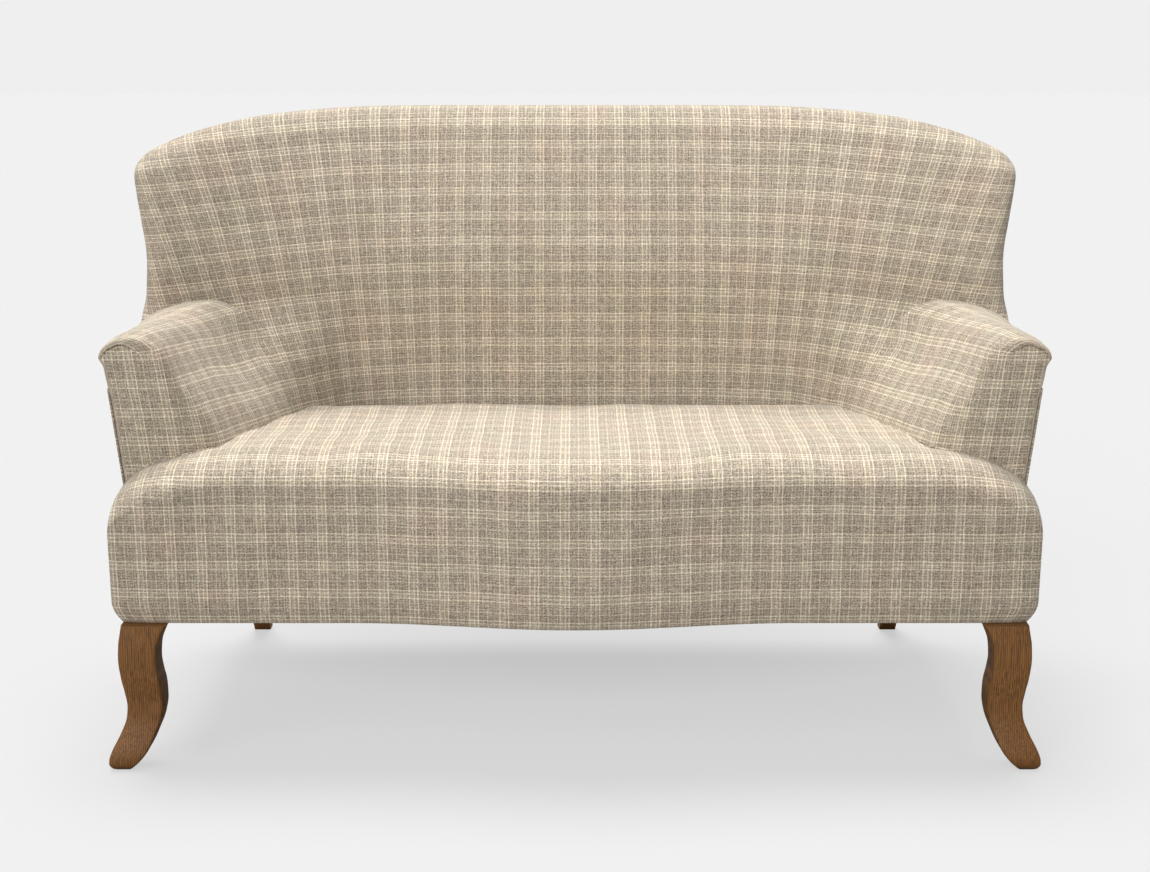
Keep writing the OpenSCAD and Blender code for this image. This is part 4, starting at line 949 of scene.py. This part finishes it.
def outside_back_patches():
    v, u = np.meshgrid(np.linspace(0, 1, 61), np.linspace(-1, 1, 121), indexing="ij")
    level = mix(BODY_BOTTOM, SEAT_H + OUTSIDE_SIDE_SHARE * BACK_TALL, v)
    low = SEAT_H + OUTSIDE_LOW_SHARE * BACK_TALL
    arm_x = arm_outer_x(np.minimum(level, STRAIGHT_Z)) - BESIDE_GAP
    beside = mix(arm_x, edge_x(low) - OUTSIDE_SET, ramp(level, WIDEN_Z, WIDEN_TALL))
    wide = np.where(level > low, edge_x(np.maximum(level, low)) - OUTSIDE_SET, beside)
    x = u * wide
    z = mix(BODY_BOTTOM, edge_z(x) - REAR_INSET, v)
    y = rear_y(x, z) + REAR_GAP + REAR_SWELL * np.sin(math.pi * v) * np.cos(u * math.pi / 2)
    grid = np.stack([x, y, z], -1)
    return sheet_patches(grid, np.array([0, OUTSIDE_BACK_T, 0]), np.stack([x, z], -1))


outside_back = new_piece("outside_back", outside_back_patches(), plaid)
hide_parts("outside_back_cover")


def outside_arm_patches():
    columns = np.concatenate([np.linspace(ARM_SHEET_FRONT_Y, STEP_FRONT_Y, 31),
                              np.linspace(STEP_REAR_Y, ARM_SHEET_REAR_Y, 33)])
    v, y = np.meshgrid(np.linspace(0, 1, 61), columns, indexing="ij")
    z = mix(BODY_BOTTOM, np.where(y < STEP_REAR_Y, LOW_TOP_Z, HIGH_TOP_Z), v)
    x = arm_outer_x(np.minimum(z, STRAIGHT_Z)) - COVER_T
    # The rear edge meets the outside back all the way up
    to_rear = smooth((y - REAR_TURN_Y) / (ARM_SHEET_REAR_Y - REAR_TURN_Y))
    y = y + (rear_y(x, z) + REAR_LAP - ARM_SHEET_REAR_Y) * to_rear
    grid = np.stack([x, y, z], -1)
    place = np.stack([ARM_OUT + y + ARM_FRONT_Y, z], -1)
    return sheet_patches(grid, np.array([COVER_T, 0, 0]), place)


for side, patches in both_sides(outside_arm_patches()):
    cover = new_piece("outside_arm_" + side, patches, plaid)
    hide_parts("outside_arm_cover_" + side)


def flat_sheet(name, node, material, sag):
    """A sheet in the box of its CAD node, which sags a little in the middle."""
    low, high = np.array(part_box(node)) * 1000
    v, u = np.meshgrid(np.linspace(0, 1, 31), np.linspace(0, 1, 61), indexing="ij")
    x, y = mix(low[0], high[0], u), mix(low[1], high[1], v)
    z = low[2] - sag * np.sin(math.pi * u) * np.sin(math.pi * v)
    grid = np.stack([x, y, z], -1)
    thick = np.array([0, 0, high[2] - low[2]])
    piece = new_piece(name, sheet_patches(grid, thick, np.stack([x, y], -1)), material)
    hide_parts(node)


flat_sheet("bottoming", "dust_cover", lining, 1.5)
flat_sheet("deck_cloth", "spring_platform", hessian, 0)

# Front legs: one cabriole profile, seen from the front and from the side. Shares of the height,
# then of the width.
LEG_W, LEG_H, LEG_X, LEG_Y = 69, 230.6, 633, -311
LEG_LEAN_SHARE = 0.88
LEG_OUTER = [(0, 1.26), (0.012, 1.34), (0.046, 1.41), (0.077, 1.405), (0.133, 1.345),
             (0.241, 1.165), (0.349, 1.035), (0.431, 1.015), (0.523, 1.055), (0.636, 1.12),
             (0.77, 1.16), (0.872, 1.145), (0.96, 1.1), (1, 1.08)]
LEG_INNER = [(0, 0.95), (0.029, 0.84), (0.062, 0.72), (0.128, 0.54), (0.231, 0.38),
             (0.339, 0.25), (0.441, 0.2), (0.544, 0.21), (0.657, 0.27), (0.739, 0.3),
             (0.841, 0.28), (0.934, 0.18), (1, 0.05)]
# Heights of the cuts between foot and top, closer together in the foot
LEG_LEVELS = np.concatenate([[0.004, 0.012, 0.026, 0.045, 0.06], np.linspace(0.08, 0.97, 34)])
# Side of the block that the leg is bent from, in mm
LEG_BLOCK = 70
# An edge taller than this, in metres, is an upright one. A vertex this near a level is on it.
UPRIGHT, ON_LEVEL = 0.1, 0.00005


def front_leg(side):
    sign = -1 if side == "left" else 1
    bpy.ops.mesh.primitive_cube_add(size=LEG_BLOCK / 1000, location=(0, 0, LEG_H / 2000),
                                    scale=(1, 1, LEG_H / LEG_BLOCK))
    leg = bpy.context.object
    leg.name = "cabriole_leg_" + side
    bpy.ops.object.transform_apply(location=True, rotation=False, scale=True)
    bpy.ops.object.mode_set(mode="EDIT")
    bpy.ops.mesh.select_mode(type="EDGE")
    work = bmesh.from_edit_mesh(leg.data)
    for edge in work.edges:
        a, b = edge.verts
        edge.select_set(abs(a.co.z - b.co.z) > UPRIGHT)
    bpy.ops.mesh.bevel(offset=0.006, segments=4, affect="EDGES")
    for level in LEG_LEVELS:
        bpy.ops.mesh.select_all(action="SELECT")
        bpy.ops.mesh.bisect(plane_co=(0, 0, level * LEG_H / 1000), plane_no=(0, 0, 1))
    bpy.ops.mesh.select_mode(type="VERT")
    for level in np.concatenate([[0], LEG_LEVELS, [1]]):
        outer, inner = float(curve(level, LEG_OUTER)), float(curve(level, LEG_INNER))
        size = (outer - inner) * LEG_W / LEG_BLOCK
        middle = (outer + inner) / 2 * LEG_W
        height = level * LEG_H / 1000
        work = bmesh.from_edit_mesh(leg.data)
        for vert in work.verts:
            vert.select_set(abs(vert.co.z - height) < ON_LEVEL)
        work.select_flush_mode()
        bmesh.update_edit_mesh(leg.data)
        bpy.ops.transform.resize(value=(size, size, 1), center_override=(0, 0, height))
        place = (sign * (LEG_X + middle) / 1000, (LEG_Y - middle * LEG_LEAN_SHARE) / 1000, 0)
        bpy.ops.transform.translate(value=place)
    bpy.ops.mesh.select_all(action="SELECT")
    bpy.ops.mesh.normals_make_consistent(inside=False)
    bpy.ops.object.mode_set(mode="OBJECT")
    bpy.ops.object.shade_smooth_by_angle(angle=math.radians(50))
    leg.data.materials.append(leg_wood)
    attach(leg, "root")
    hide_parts("front_leg_" + side)


for side in ("left", "right"):
    front_leg(side)

# Pieces that keep their CAD shape. What isn't named here is frame wood.
FINISHES = {"rear_leg": leg_wood, "seat_springs": steel, "spring_clips": zinc, "leg_bolts": zinc,
            "back_webbing": strap_web}
for name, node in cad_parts.items():
    finish = next((m for start, m in FINISHES.items() if name.startswith(start)), frame_wood)
    node.data.materials.clear()
    node.data.materials.append(finish)

# Floor. The camera sees it pale, while the settee gets the light of a greyer one.
FLOOR_GREY, BOUNCE_GREY = 0.14, 0.3
# The floor's glow, and the painted shadow that lowers that glow under the seat
FLOOR_GLOW, SEAT_PAINTED_SHADOW = 0.592, -0.13
bpy.ops.mesh.primitive_plane_add(size=60, location=(0, 0, 0))
floor = bpy.context.object
floor.name = "floor"
floor_paint = bpy.data.materials.new("pale_floor")
tree = fresh_tree(floor_paint)
seen = add(tree, "ShaderNodeLightPath").outputs["Is Camera Ray"]
matte = add(tree, "ShaderNodeBsdfDiffuse", Color=(FLOOR_GREY, FLOOR_GREY, FLOOR_GREY, 1))
# A shadow is painted on the floor under the seat: the floor's glow is a little darker there
around = add(tree, "ShaderNodeTexCoord").outputs["Object"]
patch = add(tree, "ShaderNodeMapping", Vector=around, Location=(0, -0.91, 0), Scale=(1.18, 1.82, 1))
shade = add(tree, "ShaderNodeTexGradient", {"gradient_type": "SPHERICAL"}, Vector=patch)
pale = add(tree, "ShaderNodeMath", TIMES_PLUS, _0=shade, _1=SEAT_PAINTED_SHADOW, _2=FLOOR_GLOW)
glow = add(tree, "ShaderNodeEmission", Color=(1, 1, 1, 1), Strength=pale)
shown = add(tree, "ShaderNodeAddShader", _0=matte, _1=glow)
bounce = add(tree, "ShaderNodeBsdfDiffuse", Color=(BOUNCE_GREY, BOUNCE_GREY, BOUNCE_GREY, 1))
pick = add(tree, "ShaderNodeMixShader", _0=seen, _1=bounce, _2=shown)
add(tree, "ShaderNodeOutputMaterial", Surface=pick)
floor.data.materials.append(floor_paint)

# Backdrop: pale paper for the camera, and a softer light on the settee from all round
world = bpy.data.worlds.new("studio")
bpy.context.scene.world = world
tree = fresh_tree(world)
seen = add(tree, "ShaderNodeLightPath").outputs["Is Camera Ray"]
soft_light = add(tree, "ShaderNodeBackground", Color=(1, 1, 1, 1), Strength=0.36)
paper = add(tree, "ShaderNodeBackground", Color=linear("#efefef"), Strength=1.0)
pick = add(tree, "ShaderNodeMixShader", _0=seen, _1=soft_light, _2=paper)
add(tree, "ShaderNodeOutputWorld", Surface=pick)


def sun(name, strength, spread, tilt, turn):
    """A far lamp. Its angles are in degrees: how wide it is, how far it leans and its turn."""
    data = bpy.data.lights.new(name, "SUN")
    data.energy = strength
    data.angle = math.radians(spread)
    lamp = bpy.data.objects.new(name, data)
    lamp.rotation_euler = (math.radians(tilt), 0, math.radians(turn))
    link(lamp)


sun("overhead", 4.5, 36, -18, 14)
sun("front_left", 2.0, 50, 58, -26)
# A soft patch of light on the middle of the seat
SPOT_FROM = Vector((-0.5, -3.3, 1.9))
SPOT_TO = Vector((0.05, 0.15, 0.56))
spot_data = bpy.data.lights.new("seat_light", "SPOT")
spot_data.energy = 150
spot_data.spot_size = math.radians(26)
spot_data.spot_blend = 1.0
spot_data.shadow_soft_size = 0.5
spot = bpy.data.objects.new("seat_light", spot_data)
spot.location = SPOT_FROM
spot.rotation_euler = (SPOT_TO - SPOT_FROM).to_track_quat("-Z", "Y").to_euler()
link(spot)

bpy.context.scene.view_settings.view_transform = "Standard"
